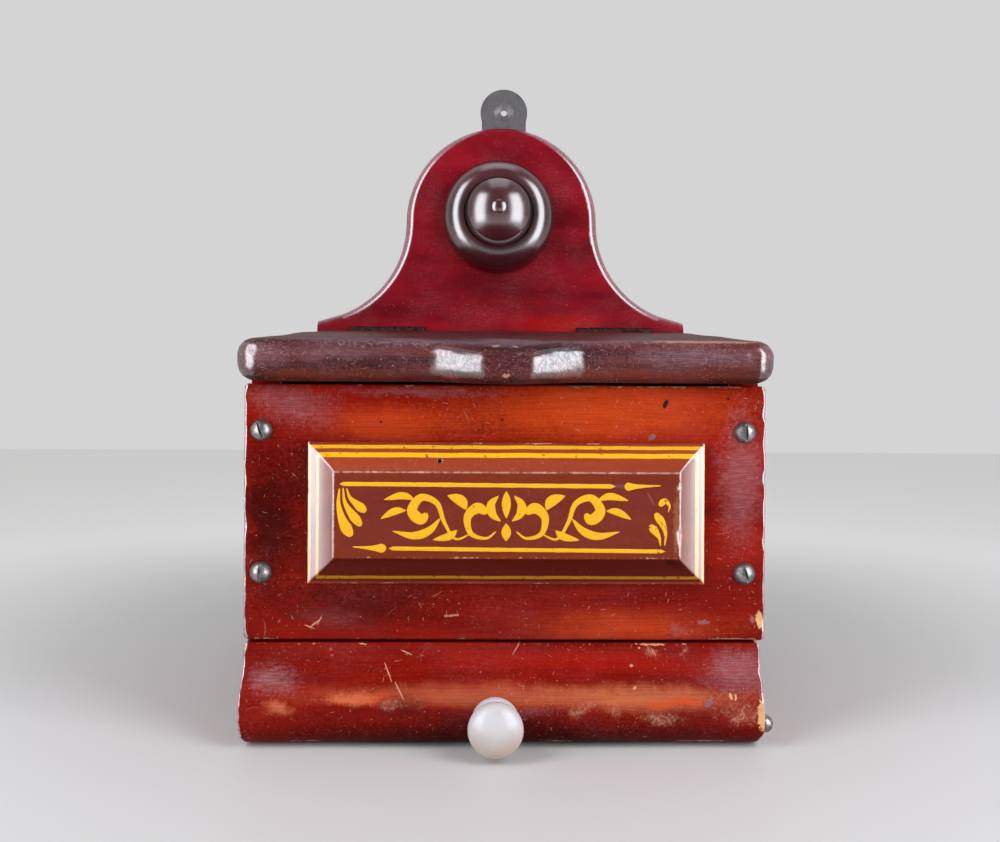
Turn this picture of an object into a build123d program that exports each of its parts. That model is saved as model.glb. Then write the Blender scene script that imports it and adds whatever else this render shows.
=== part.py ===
from build123d import *
import os
from math import cos, radians, sin, tan

# Wall salt box: a case with a crested backboard, a sloping lid on two butt hinges and a small drawer.
# Millimetres. X runs across the front, Y from front to back, Z up from the surface that it stands on.
# The origin is the middle of the case's footprint.

# Case
case_width = 186.2
case_depth = 145.0  # face of the front board to the back of the backboard
side_thickness = 11.0
front_thickness = 10.0
back_thickness = 10.0
base_thickness = 6.0
floor_thickness = 6.0
drawer_bay_height = 31.2
front_board_height = 91.2
board_arris = 0.8

# Crest of the backboard
shoulder_rise = 5.1  # above the top of the lid
shoulder_run = 12.0
shoulder_drop = 3.5
crest_rise = 50.8  # shoulder to the middle of the round head
crest_radius = 48.5
crest_round = 4.5

# Lid
lid_slope = 7.0  # degrees
lid_thickness = 15.0
lid_bullnose = 7.3
lid_side_overhang = 1.9
lid_front_overhang = 9.2
lid_corner_radius = 9.0
lid_front_gap = 1.0
lid_seat_gap = 0.1
lid_back_gap = 1.6
lip_projection = 9.0
lip_flat_half = 6.0
lip_half_width = 28.0
lip_flank_angle = 27.0  # degrees off the front of the lid

# Butt hinges
hinge_length = 38.0
hinge_inset = 35.6  # outer face of a side to the middle of its hinge
hinge_drop = 0.4  # axis below the top face of the lid
pin_radius = 1.2
pin_clearance = 0.05
leaf_thickness = 1.2
leaf_height = 11.0
leaf_gap = 0.4
knuckle_count = 5
knuckle_gap = 0.3
pocket_clearance = 0.3

# Raised plaque
plaque_width = 140.4
plaque_height = 50.0
plaque_shift = 0.3  # to the right of the middle
plaque_centre_height = 45.6  # above the lower edge of the front board
plaque_edge_thickness = 3.0
plaque_rise = 6.2
plaque_border = 10.0
plaque_cove_start = 18.0  # degrees off the board at the outer edge
plaque_arris = 0.6
plaque_edge_arris = 0.8

# Turned boss
boss_height = 1.9  # above the middle of the round head
boss_shift = -1.5
boss_radius = 28.3
boss_foot = 1.5
boss_ring_radius = 10.8
boss_quirk = 1.6
boss_neck_radius = 11.0
boss_neck_height = 13.5
boss_dome_radius = 15.2
boss_dome_height = 18.4
boss_dome_rise = 6.2
boss_rim = 1.0
boss_nub_radius = 4.0
boss_nub_rise = 1.4
spigot_radius = 6.35
spigot_length = 7.0

# Hanging plate
plate_shift = 1.1
plate_head_radius = 12.1
plate_width = 22.8
plate_hole_rise = 9.7  # hole centre above the top of the crest
plate_length = 40.0  # below the hole centre
plate_thickness = 2.0
plate_hole_radius = 1.6
plate_sink_radius = 5.0
plate_sink_depth = 1.0
plate_bevel = 0.8
plate_screw_first = 17.0
plate_screw_spacing = 14.0

# Drawer
drawer_front_margin = 0.85  # in from each side of the case, before the shift
drawer_front_shift = -0.85
drawer_front_lift = 1.5
drawer_front_gap = 0.9
drawer_seat_gap = 0.2
drawer_side_clearance = 0.5
drawer_run_clearance = 0.4
drawer_top_clearance = 1.0
drawer_end_gap = 5.0  # back of the drawer to the backboard
drawer_side_thickness = 6.0
drawer_back_thickness = 6.0
drawer_back_drop = 3.0
drawer_bottom_thickness = 3.0
drawer_groove_height = 3.0
drawer_groove_depth = 3.0
drawer_housing = 4.0
swell_projection = 7.0
swell_crest_height = 12.9  # crest of the swell above the lower edge of the drawer front
swell_crest_flat = 2.9
hollow_start = 4.0  # below the upper edge
hollow_share = 0.63
drawer_arris = 0.7

# Porcelain knob
knob_shift = -3.4
knob_axis_height = 11.3
knob_seat = 0.6
knob_flange_radius = 8.3
knob_flange_back_radius = 7.4
knob_flange_length = 5.0
knob_neck_radius = 6.7
knob_neck_length = 2.0
knob_radius = 9.45
knob_widest = 11.1
knob_front_rise = 6.0
knob_edge_radius = 4.0
stem_radius = 2.0
stem_in_knob = 9.0
stem_in_wood = 12.0

# Fastenings
round_screw_head = 3.95
round_screw_rise = 3.0
round_screw_shank = 2.1
round_screw_length = 25.0
round_screw_slot = 0.8
front_screw_inset_left = 6.2
front_screw_inset_right = 7.6
front_screw_upper = 16.7
front_screw_lower = 24.0
small_screw_head = 3.1
small_screw_rise = 3.4
small_screw_shank = 1.6
small_screw_length = 19.0
small_screw_height = 9.0
small_screw_advance = 3.6  # in front of the face of the front board
small_screw_turn = 40.0  # degrees of the slot off level
flat_screw_head = 2.5
flat_screw_shank = 1.35
flat_screw_sink = 1.15
flat_screw_slot = 0.6
hinge_screw_spacing = 12.0
hinge_screw_length = 8.0
lid_screw_length = 12.0
plate_screw_length = 7.5
nail_radius = 0.9
nail_head_radius = 1.8
nail_head_thickness = 0.8
nail_length = 25.0
nail_inset = 22.0
drawer_nail_radius = 0.6
drawer_nail_head_radius = 1.1
drawer_nail_length = 16.0
plaque_pin_radius = 0.75
plaque_pin_length = 14.0
plaque_pin_spread = 23.6
plaque_pin_edge = 6.5  # from the plaque's outer edge
pin_hole_depth = 5.0

# Places that follow from the driving dimensions
half_width = case_width / 2
front_y = -case_depth / 2
back_y = case_depth / 2
board_back_y = front_y + front_thickness  # the sides, the floor and the base start here
back_face_y = back_y - back_thickness
inner_half = half_width - side_thickness
side_middle = half_width - side_thickness / 2
inner_depth = back_face_y - board_back_y
inner_middle_y = (back_face_y + board_back_y) / 2
floor_z = base_thickness + drawer_bay_height
front_top_z = floor_z + front_board_height
slope = radians(lid_slope)
lid_under_front_z = front_top_z + lid_front_gap
lid_back_y = back_face_y - lid_back_gap
lid_half_width = half_width + lid_side_overhang
hinge_x = half_width - hinge_inset
hinge_y = back_face_y - lid_back_gap / 2
lid_top_at_hinge = lid_under_front_z + (hinge_y - front_y) * tan(slope) + lid_thickness / cos(slope)
hinge_z = lid_top_at_hinge - hinge_drop
knuckle_radius = pin_radius + leaf_thickness
knuckle_pitch = hinge_length / knuckle_count
leaf_recess = leaf_gap / 2 + leaf_thickness - lid_back_gap / 2
leaf_flat_top = knuckle_radius + pocket_clearance  # below the axis
shoulder_z = lid_top_at_hinge + shoulder_rise
head_z = shoulder_z + crest_rise
crest_top_z = head_z + crest_radius
plate_hole_z = crest_top_z + plate_hole_rise
boss_z = head_z + boss_height
plaque_z = floor_z + plaque_centre_height
drawer_back_face_y = board_back_y - drawer_seat_gap
drawer_top_z = floor_z - drawer_front_gap
drawer_end_y = back_face_y - drawer_end_gap
drawer_half = inner_half - drawer_side_clearance
drawer_front_width = case_width - 2 * drawer_front_margin
drawer_low_z = base_thickness + drawer_run_clearance
drawer_side_top_z = floor_z - drawer_top_clearance
drawer_bottom_z = drawer_low_z + drawer_groove_height
drawer_bottom_top_z = drawer_bottom_z + drawer_bottom_thickness
knob_seat_y = front_y - swell_projection + knob_seat

os.makedirs("parts", exist_ok=True)


def lid_underside(y, gap=0.0):
    """Height of the lid's lower face at a depth, less a gap."""
    return lid_under_front_z + (y - front_y) * tan(slope) - gap


def facing(x, y, z, direction):
    """A plane at a point, whose Z axis is the direction."""
    return Plane(origin=(x, y, z), z_dir=direction)


def round_head_screw(head_radius, rise, shank_radius, length, slot):
    """A round-head wood screw: the head stands above Z = 0 and the shank runs below it."""
    with BuildPart() as screw:
        with BuildSketch(Plane.XZ):
            with BuildLine():
                TangentArc((0, rise), (head_radius, 0), tangent=(1, 0))
                Line((head_radius, 0), (shank_radius, 0))
                Line((shank_radius, 0), (shank_radius, -0.75 * length))
                Line((shank_radius, -0.75 * length), (0, -length))
                Line((0, -length), (0, rise))
            make_face()
        revolve(axis=Axis.Z)
        with Locations((0, 0, rise)):
            Box(2 * head_radius, slot, 0.9 * rise, mode=Mode.SUBTRACT)
    return screw.part


def flat_head_screw(length):
    """A countersunk wood screw: the slotted head lies flush with Z = 0 and the shank runs below it."""
    with BuildPart() as screw:
        with BuildSketch(Plane.XZ):
            with BuildLine():
                Polyline(
                    (0, 0),
                    (flat_screw_head, 0),
                    (flat_screw_shank, -flat_screw_sink),
                    (flat_screw_shank, -0.7 * length),
                    (0, -length),
                    close=True,
                )
            make_face()
        revolve(axis=Axis.Z)
        Box(2 * flat_screw_head, flat_screw_slot, flat_screw_sink, mode=Mode.SUBTRACT)
    return screw.part


def nail(radius, head_radius, head_thickness, length):
    """A nail with its head's top at Z = 0 and its point at Z = -length."""
    with BuildPart() as one:
        with BuildSketch(Plane.XZ):
            with BuildLine():
                Polyline(
                    (0, 0),
                    (head_radius, 0),
                    (head_radius, -head_thickness),
                    (radius, -head_thickness),
                    (radius, -length + 2 * radius),
                    (0, -length),
                    close=True,
                )
            make_face()
        revolve(axis=Axis.Z)
    return one.part


board_nail = nail(nail_radius, nail_head_radius, nail_head_thickness, nail_length)
drawer_nail = nail(drawer_nail_radius, drawer_nail_head_radius, nail_head_thickness, drawer_nail_length)
front_screw = round_head_screw(
    round_screw_head, round_screw_rise, round_screw_shank, round_screw_length, round_screw_slot
)
end_screw = round_head_screw(
    small_screw_head, small_screw_rise, small_screw_shank, small_screw_length, round_screw_slot
)
hinge_screw = flat_head_screw(hinge_screw_length)
lid_screw = flat_head_screw(lid_screw_length)
plate_screw = flat_head_screw(plate_screw_length)

# Four round-head screws hold the front board to the ends of the sides. Each slot has its own turn.
left_screw_x = -half_width + front_screw_inset_left
right_screw_x = half_width - front_screw_inset_right
upper_screw_z = front_top_z - front_screw_upper
lower_screw_z = floor_z + front_screw_lower
front_screw_places = [
    (left_screw_x, upper_screw_z, 71.0),
    (right_screw_x, upper_screw_z, 88.0),
    (left_screw_x, lower_screw_z, 93.0),
    (right_screw_x, lower_screw_z, 76.0),
]
with BuildPart() as front_screws:
    for screw_x, screw_z, slot_turn in front_screw_places:
        seat = Plane(
            origin=(screw_x, front_y, screw_z),
            x_dir=(-cos(radians(slot_turn)), 0, sin(radians(slot_turn))),
            z_dir=(0, -1, 0),
        )
        with Locations(seat):
            add(front_screw)
front_screws.part.label = "front_screws"
export_step(front_screws.part, "parts/front_screws.step")

# Nails through the backboard into the back ends of the sides.
side_back_top_z = lid_underside(back_face_y)
backboard_nail_heights = [side_back_top_z * share for share in (0.14, 0.4, 0.66, 0.92)]
with BuildPart() as backboard_nails:
    for nail_z in backboard_nail_heights:
        for nail_x in (-side_middle, side_middle):
            with Locations(facing(nail_x, back_y, nail_z, (0, 1, 0))):
                add(board_nail)
backboard_nails.part.label = "backboard_nails"
export_step(backboard_nails.part, "parts/backboard_nails.step")

# Nails through the sides into the ends of the compartment floor and of the base board.
nail_depths = (board_back_y + nail_inset, inner_middle_y, back_face_y - nail_inset - nail_length / 2)
with BuildPart() as floor_nails:
    for nail_y in nail_depths:
        for hand in (-1, 1):
            with Locations(facing(hand * half_width, nail_y, floor_z + floor_thickness / 2, (hand, 0, 0))):
                add(board_nail)
floor_nails.part.label = "floor_nails"
export_step(floor_nails.part, "parts/floor_nails.step")

with BuildPart() as base_nails:
    for nail_y in nail_depths:
        for hand in (-1, 1):
            with Locations(facing(hand * half_width, nail_y, base_thickness / 2, (hand, 0, 0))):
                add(board_nail)
base_nails.part.label = "base_nails"
export_step(base_nails.part, "parts/base_nails.step")

# Hinge screws: the fixed leaves' run back into the backboard, the moving leaves' forward into the lid.
leaf_screw_z = hinge_z - (leaf_height + leaf_flat_top) / 2
leaf_screw_offsets = (-hinge_screw_spacing, 0.0, hinge_screw_spacing)
with BuildPart() as hinge_plate_screws:
    for hand in (-1, 1):
        for offset_x in leaf_screw_offsets:
            with Locations(facing(hand * hinge_x + offset_x, hinge_y + leaf_gap / 2, leaf_screw_z, (0, -1, 0))):
                add(hinge_screw)
hinge_plate_screws.part.label = "hinge_plate_screws"
export_step(hinge_plate_screws.part, "parts/hinge_plate_screws.step")

with BuildPart() as lid_leaf_screws:
    for hand in (-1, 1):
        for offset_x in leaf_screw_offsets:
            with Locations(facing(hand * hinge_x + offset_x, hinge_y - leaf_gap / 2, leaf_screw_z, (0, 1, 0))):
                add(lid_screw)
lid_leaf_screws.part.label = "lid_leaf_screws"
export_step(lid_leaf_screws.part, "parts/lid_leaf_screws.step")


def hinge_leaf(hand, side, own_knuckles, bore_radius):
    """One leaf with its knuckles. side is +1 towards the backboard and -1 towards the lid."""
    middle_x = hand * hinge_x
    plate_y = hinge_y + side * (leaf_gap + leaf_thickness) / 2
    with BuildPart() as leaf:
        with Locations((middle_x, plate_y, hinge_z - leaf_flat_top)):
            Box(hinge_length, leaf_thickness, leaf_height - leaf_flat_top, align=(Align.CENTER, Align.CENTER, Align.MAX))
        for k in own_knuckles:
            knuckle_x = middle_x + (k - (knuckle_count - 1) / 2) * knuckle_pitch
            with Locations((knuckle_x, plate_y, hinge_z)):
                Box(
                    knuckle_pitch - knuckle_gap,
                    leaf_thickness,
                    leaf_flat_top,
                    align=(Align.CENTER, Align.CENTER, Align.MAX),
                )
            with Locations((knuckle_x, hinge_y, hinge_z)):
                Cylinder(knuckle_radius, knuckle_pitch - knuckle_gap, rotation=(0, 90, 0))
        with Locations((middle_x, hinge_y, hinge_z)):
            Cylinder(bore_radius, hinge_length, rotation=(0, 90, 0), mode=Mode.SUBTRACT)
        for offset_x in leaf_screw_offsets:
            with Locations(facing(middle_x + offset_x, hinge_y + side * leaf_gap / 2, leaf_screw_z, (0, -side, 0))):
                CounterSinkHole(flat_screw_shank, flat_screw_head, counter_sink_angle=90, depth=2 * leaf_thickness)
    return leaf


fixed_knuckles = range(0, knuckle_count, 2)
moving_knuckles = range(1, knuckle_count, 2)
for hand, hand_name in ((-1, "left"), (1, "right")):
    hinge_plate = hinge_leaf(hand, 1, fixed_knuckles, pin_radius)
    hinge_plate.part.label = f"hinge_plate_{hand_name}"
    export_step(hinge_plate.part, f"parts/hinge_plate_{hand_name}.step")

    lid_leaf = hinge_leaf(hand, -1, moving_knuckles, pin_radius + pin_clearance)
    lid_leaf.part.label = f"lid_leaf_{hand_name}"
    export_step(lid_leaf.part, f"parts/lid_leaf_{hand_name}.step")

    with BuildPart() as hinge_pin:
        with Locations((hand * hinge_x, hinge_y, hinge_z)):
            Cylinder(pin_radius, hinge_length, rotation=(0, 90, 0))
    hinge_pin.part.label = f"hinge_pin_{hand_name}"
    export_step(hinge_pin.part, f"parts/hinge_pin_{hand_name}.step")

# Hanging plate, let in flush with the back of the backboard, and its two screws from behind.
plate_foot_z = plate_hole_z - plate_length
with BuildPart() as hanging_plate:
    with BuildSketch(Plane.XZ.offset(-back_y)):
        with Locations((plate_shift, plate_hole_z)):
            Circle(plate_head_radius)
            Rectangle(plate_width, plate_length, align=(Align.CENTER, Align.MAX))
    extrude(amount=plate_thickness)
    front_rim = hanging_plate.faces().sort_by(Axis.Y)[0].edges()
    chamfer(front_rim, plate_bevel)
    with Locations(facing(plate_shift, back_y - plate_thickness, plate_hole_z, (0, -1, 0))):
        Hole(plate_hole_radius)
        Cone(
            plate_hole_radius,
            plate_sink_radius,
            plate_sink_depth,
            align=(Align.CENTER, Align.CENTER, Align.MAX),
            mode=Mode.SUBTRACT,
        )
    for k in range(2):
        screw_z = plate_hole_z - plate_screw_first - k * plate_screw_spacing
        with Locations(facing(plate_shift, back_y, screw_z, (0, 1, 0))):
            CounterSinkHole(flat_screw_shank, flat_screw_head, counter_sink_angle=90)
hanging_plate.part.label = "hanging_plate"
export_step(hanging_plate.part, "parts/hanging_plate.step")

with BuildPart() as hanging_plate_screws:
    for k in range(2):
        screw_z = plate_hole_z - plate_screw_first - k * plate_screw_spacing
        with Locations(facing(plate_shift, back_y, screw_z, (0, 1, 0))):
            add(plate_screw)
hanging_plate_screws.part.label = "hanging_plate_screws"
export_step(hanging_plate_screws.part, "parts/hanging_plate_screws.step")

# Turned boss. The profile is radius against distance in front of the backboard.
boss_x = boss_shift
boss_profile_plane = Plane(origin=(boss_x, back_face_y, boss_z), x_dir=(1, 0, 0), z_dir=(0, 0, -1))
ring_top = boss_foot + boss_ring_radius
ring_inner = boss_radius - boss_ring_radius
dome_top = boss_dome_height + boss_dome_rise
rim_low = boss_dome_height - boss_rim
rim_high = (boss_dome_radius - 0.5 * boss_rim, boss_dome_height + boss_rim)
nub_top = dome_top + 0.5 * boss_nub_rise
nub_curve = (boss_nub_radius**2 + boss_nub_rise**2) / (2 * boss_nub_rise)
with BuildPart() as boss:
    with BuildSketch(boss_profile_plane):
        with BuildLine():
            Line((0, -spigot_length), (spigot_radius, -spigot_length))
            Line((spigot_radius, -spigot_length), (spigot_radius, 0))
            Line((spigot_radius, 0), (boss_radius, 0))
            Line((boss_radius, 0), (boss_radius, boss_foot))
            TangentArc((boss_radius, boss_foot), (ring_inner, ring_top), tangent=(0, 1))
            Line((ring_inner, ring_top), (ring_inner, ring_top - boss_quirk))
            ThreePointArc(
                (ring_inner, ring_top - boss_quirk),
                (boss_neck_radius + 0.3 * (ring_inner - boss_neck_radius), ring_top - boss_quirk + 0.5),
                (boss_neck_radius, boss_neck_height),
            )
            ThreePointArc(
                (boss_neck_radius, boss_neck_height),
                (boss_neck_radius + 0.8, (boss_neck_height + rim_low) / 2 + 0.4),
                (boss_dome_radius - boss_rim, rim_low),
            )
            ThreePointArc((boss_dome_radius - boss_rim, rim_low), (boss_dome_radius, boss_dome_height), rim_high)
            TangentArc((0, dome_top), rim_high, tangent=(1, 0))
            Line((0, dome_top), (0, -spigot_length))
        make_face()
    revolve(axis=Axis((boss_x, back_face_y, boss_z), (0, -1, 0)))
    with Locations((boss_x, back_face_y - nub_top + nub_curve, boss_z)):
        Sphere(nub_curve)
boss.part.label = "boss"
export_step(boss.part, "parts/boss.step")

# Backboard: square below, with a bell-shaped crest whose front edge is rounded over.
hollow_end = (half_width - shoulder_run, shoulder_z + shoulder_drop)
with BuildPart() as backboard:
    with BuildSketch(Plane.XZ.offset(-back_y)):
        with BuildLine():
            Line((0, 0), (half_width, 0))
            Line((half_width, 0), (half_width, shoulder_z))
            Line((half_width, shoulder_z), hollow_end)
            TangentArc((crest_radius, head_z), hollow_end, tangent=(0, -1))
            CenterArc((0, head_z), crest_radius, 0, 90)
            mirror(about=Plane.YZ)
        make_face()
    extrude(amount=back_thickness)
    front_outline = backboard.faces().sort_by(Axis.Y)[0].edges()
    crest_edges = front_outline.filter_by(lambda edge: edge.center().Z > shoulder_z)
    fillet(crest_edges, crest_round)
    for hand in (-1, 1):
        with Locations((hand * hinge_x, back_face_y, hinge_z)):
            Box(
                hinge_length,
                2 * leaf_recess,
                leaf_height,
                align=(Align.CENTER, Align.CENTER, Align.MAX),
                mode=Mode.SUBTRACT,
            )
        with Locations((hand * hinge_x, hinge_y, hinge_z)):
            Cylinder(
                knuckle_radius + pocket_clearance, hinge_length, rotation=(0, 90, 0), mode=Mode.SUBTRACT
            )
    with Locations((boss_x, back_face_y, boss_z)):
        Cylinder(
            spigot_radius,
            spigot_length,
            rotation=(-90, 0, 0),
            align=(Align.CENTER, Align.CENTER, Align.MIN),
            mode=Mode.SUBTRACT,
        )
    with BuildSketch(Plane.XZ.offset(-back_y)):
        with Locations((plate_shift, plate_hole_z)):
            Rectangle(plate_width, plate_length, align=(Align.CENTER, Align.MAX))
    extrude(amount=plate_thickness, mode=Mode.SUBTRACT)
    add([backboard_nails.part, hinge_plate_screws.part, hanging_plate_screws.part], mode=Mode.SUBTRACT)
backboard.part.label = "backboard"
export_step(backboard.part, "parts/backboard.step")

# Sides, whose tops follow the lid.
for hand, hand_name in ((-1, "left"), (1, "right")):
    with BuildPart() as side:
        with BuildSketch(Plane.YZ.offset(hand * side_middle)):
            with BuildLine():
                Polyline(
                    (board_back_y, 0),
                    (back_face_y, 0),
                    (back_face_y, lid_underside(back_face_y, lid_seat_gap)),
                    (board_back_y, lid_underside(board_back_y, lid_seat_gap)),
                    close=True,
                )
            make_face()
        extrude(amount=side_thickness / 2, both=True)
        add(
            [front_screws.part, backboard_nails.part, floor_nails.part, base_nails.part],
            mode=Mode.SUBTRACT,
        )
    side.part.label = f"side_{hand_name}"
    export_step(side.part, f"parts/side_{hand_name}.step")

# Compartment floor and base board, both between the sides.
with BuildPart() as compartment_floor:
    with Locations((0, inner_middle_y, floor_z)):
        Box(2 * inner_half, inner_depth, floor_thickness, align=(Align.CENTER, Align.CENTER, Align.MIN))
    add(floor_nails.part, mode=Mode.SUBTRACT)
compartment_floor.part.label = "compartment_floor"
export_step(compartment_floor.part, "parts/compartment_floor.step")

with BuildPart() as base_board:
    with Locations((0, inner_middle_y, 0)):
        Box(2 * inner_half, inner_depth, base_thickness, align=(Align.CENTER, Align.CENTER, Align.MIN))
    add(base_nails.part, mode=Mode.SUBTRACT)
base_board.part.label = "base_board"
export_step(base_board.part, "parts/base_board.step")

# Panel pins that run through the plaque's upper and lower coves into the front board.
plaque_pin_z = plaque_height / 2 - plaque_pin_edge
with BuildPart() as plaque_pins:
    for hand in (-1, 1):
        for level in (-1, 1):
            pin_x = plaque_shift + hand * plaque_pin_spread
            with Locations((pin_x, front_y - plaque_edge_thickness, plaque_z + level * plaque_pin_z)):
                Cylinder(
                    plaque_pin_radius,
                    plaque_pin_length - pin_hole_depth,
                    rotation=(-90, 0, 0),
                    align=(Align.CENTER, Align.CENTER, Align.MIN),
                )
plaque_pins.part.label = "plaque_pins"
export_step(plaque_pins.part, "parts/plaque_pins.step")

# Front board.
with BuildPart() as front_board:
    with Locations((0, front_y, floor_z)):
        Box(case_width, front_thickness, front_board_height, align=(Align.CENTER, Align.MIN, Align.MIN))
    fillet(front_board.faces().sort_by(Axis.Y)[0].edges(), board_arris)
    add([front_screws.part, plaque_pins.part], mode=Mode.SUBTRACT)
front_board.part.label = "front_board"
export_step(front_board.part, "parts/front_board.step")

# Plaque: a flat field inside a border that four cove cuts leave mitred.
cove_tangent = (cos(radians(plaque_cove_start)), sin(radians(plaque_cove_start)))
plaque_top = plaque_edge_thickness + plaque_rise
cut_over = 2.0
pick_margin = 0.01
with BuildPart() as plaque:
    with Locations((plaque_shift, front_y, plaque_z)):
        Box(plaque_width, plaque_top, plaque_height, align=(Align.CENTER, Align.MAX, Align.CENTER))
    for turn, half_span, length in (
        (0, plaque_width / 2, plaque_height),
        (90, plaque_height / 2, plaque_width),
        (180, plaque_width / 2, plaque_height),
        (270, plaque_height / 2, plaque_width),
    ):
        outward = (cos(radians(turn)), 0, sin(radians(turn)))
        along = (-sin(radians(turn)), 0, cos(radians(turn)))
        inward = (-outward[0], 0, -outward[2])
        edge_point = (plaque_shift + outward[0] * half_span, front_y, plaque_z + outward[2] * half_span)
        cut_plane = Plane(origin=edge_point, x_dir=inward, z_dir=along)
        rise_sign = 1 if cut_plane.y_dir.Y < 0 else -1
        with BuildSketch(cut_plane):
            with BuildLine():
                outer = (0, rise_sign * plaque_edge_thickness)
                inner = (plaque_border, rise_sign * plaque_top)
                TangentArc(outer, inner, tangent=(cove_tangent[0], rise_sign * cove_tangent[1]))
                Polyline(
                    inner,
                    (plaque_border, rise_sign * (plaque_top + cut_over)),
                    (-cut_over, rise_sign * (plaque_top + cut_over)),
                    (-cut_over, rise_sign * plaque_edge_thickness),
                    outer,
                )
            make_face()
        extrude(amount=length / 2 + cut_over, both=True, mode=Mode.SUBTRACT)
    fillet(plaque.faces().sort_by(Axis.Y)[0].edges(), plaque_arris)
    edge_y = front_y - plaque_edge_thickness
    fillet(plaque.edges().filter_by_position(Axis.Y, edge_y - pick_margin, edge_y + pick_margin), plaque_edge_arris)
    add(plaque_pins.part, mode=Mode.SUBTRACT)
    with Locations((plaque_shift - plaque_pin_spread, front_y - plaque_edge_thickness, plaque_z + plaque_pin_z)):
        Cylinder(
            plaque_pin_radius,
            plaque_top,
            rotation=(90, 0, 0),
            align=(Align.CENTER, Align.CENTER, Align.MIN),
            mode=Mode.SUBTRACT,
        )
plaque.part.label = "plaque"
export_step(plaque.part, "parts/plaque.step")

# Lid: drawn on the plane of its lower face, then rounded, cut upright at the back and let in for the leaves.
lid_plane = Plane(
    origin=(0, front_y, lid_under_front_z), x_dir=(1, 0, 0), z_dir=(0, -sin(slope), cos(slope))
)
lid_run = (back_y - front_y) / cos(slope) + lid_thickness
lip_front = -lid_front_overhang - lip_projection
# Each flank of the lip is a straight run between two equal arcs that turn by lip_flank_angle.
flank = radians(lip_flank_angle)
flank_run = lip_half_width - lip_flat_half
flank_length = (lip_projection - flank_run * tan(flank / 2)) / (sin(flank) - cos(flank) * tan(flank / 2))
lip_radius = (flank_run - flank_length * cos(flank)) / (2 * sin(flank))
lip_shoulder = (lip_flat_half + lip_radius * sin(flank), lip_front + lip_radius * (1 - cos(flank)))
lip_foot = (lip_half_width - lip_radius * sin(flank), -lid_front_overhang - lip_radius * (1 - cos(flank)))
lid_corner = (lid_half_width, -lid_front_overhang + lid_corner_radius)
with BuildPart() as lid:
    with BuildSketch(lid_plane):
        with BuildLine():
            Line((0, lip_front), (lip_flat_half, lip_front))
            TangentArc((lip_flat_half, lip_front), lip_shoulder, tangent=(1, 0))
            Line(lip_shoulder, lip_foot)
            TangentArc((lip_half_width, -lid_front_overhang), lip_foot, tangent=(-1, 0))
            Line((lip_half_width, -lid_front_overhang), (lid_half_width - lid_corner_radius, -lid_front_overhang))
            TangentArc((lid_half_width - lid_corner_radius, -lid_front_overhang), lid_corner, tangent=(1, 0))
            Line(lid_corner, (lid_half_width, lid_run))
            Line((lid_half_width, lid_run), (0, lid_run))
            mirror(about=Plane.YZ)
        make_face()
    extrude(amount=lid_thickness)
    rims = lid.edges().filter_by(lambda edge: edge.center().Y < back_y and abs(edge.tangent_at(0.5).Z) < 0.5)
    fillet(rims, lid_bullnose)
    with Locations((0, lid_back_y, hinge_z)):
        Box(
            3 * case_width,
            3 * case_depth,
            4 * (lid_thickness + lid_run * tan(slope)),
            align=(Align.CENTER, Align.MIN, Align.CENTER),
            mode=Mode.SUBTRACT,
        )
    for hand in (-1, 1):
        with Locations((hand * hinge_x, lid_back_y, hinge_z)):
            Box(
                hinge_length,
                2 * leaf_recess,
                leaf_height,
                align=(Align.CENTER, Align.CENTER, Align.MAX),
                mode=Mode.SUBTRACT,
            )
        with Locations((hand * hinge_x, hinge_y, hinge_z)):
            Cylinder(
                knuckle_radius + pocket_clearance, hinge_length + 1.0, rotation=(0, 90, 0), mode=Mode.SUBTRACT
            )
    add(lid_leaf_screws.part, mode=Mode.SUBTRACT)
lid.part.label = "lid"
export_step(lid.part, "parts/lid.step")

# Drawer nails through the drawer sides into the ends of the drawer back.
drawer_nail_y = drawer_end_y - drawer_back_thickness / 2
drawer_back_top_z = drawer_side_top_z - drawer_back_drop
drawer_back_height = drawer_back_top_z - drawer_bottom_top_z
with BuildPart() as drawer_nails:
    for hand in (-1, 1):
        for share in (0.25, 0.75):
            nail_z = drawer_bottom_top_z + share * drawer_back_height
            with Locations(facing(hand * drawer_half, drawer_nail_y, nail_z, (hand, 0, 0))):
                add(drawer_nail)
drawer_nails.part.label = "drawer_nails"
export_step(drawer_nails.part, "parts/drawer_nails.step")

# Round-head screw in the right-hand end of the drawer front.
drawer_right_x = drawer_front_shift + drawer_front_width / 2
end_screw_seat = Plane(
    origin=(drawer_right_x, front_y - small_screw_advance, small_screw_height),
    x_dir=(0, cos(radians(small_screw_turn)), sin(radians(small_screw_turn))),
    z_dir=(1, 0, 0),
)
with BuildPart() as drawer_end_screw:
    with Locations(end_screw_seat):
        add(end_screw)
drawer_end_screw.part.label = "drawer_end_screw"
export_step(drawer_end_screw.part, "parts/drawer_end_screw.step")

# Porcelain knob. The profile is radius against distance in front of its seat on the drawer front.
knob_profile_plane = Plane(origin=(knob_shift, knob_seat_y, knob_axis_height), x_dir=(1, 0, 0), z_dir=(0, 0, -1))
knob_axis = Axis((knob_shift, knob_seat_y, knob_axis_height), (0, -1, 0))
neck_end = knob_flange_length + knob_neck_length
neck_shoulder_radius = (knob_neck_radius + knob_flange_back_radius) / 2
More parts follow.
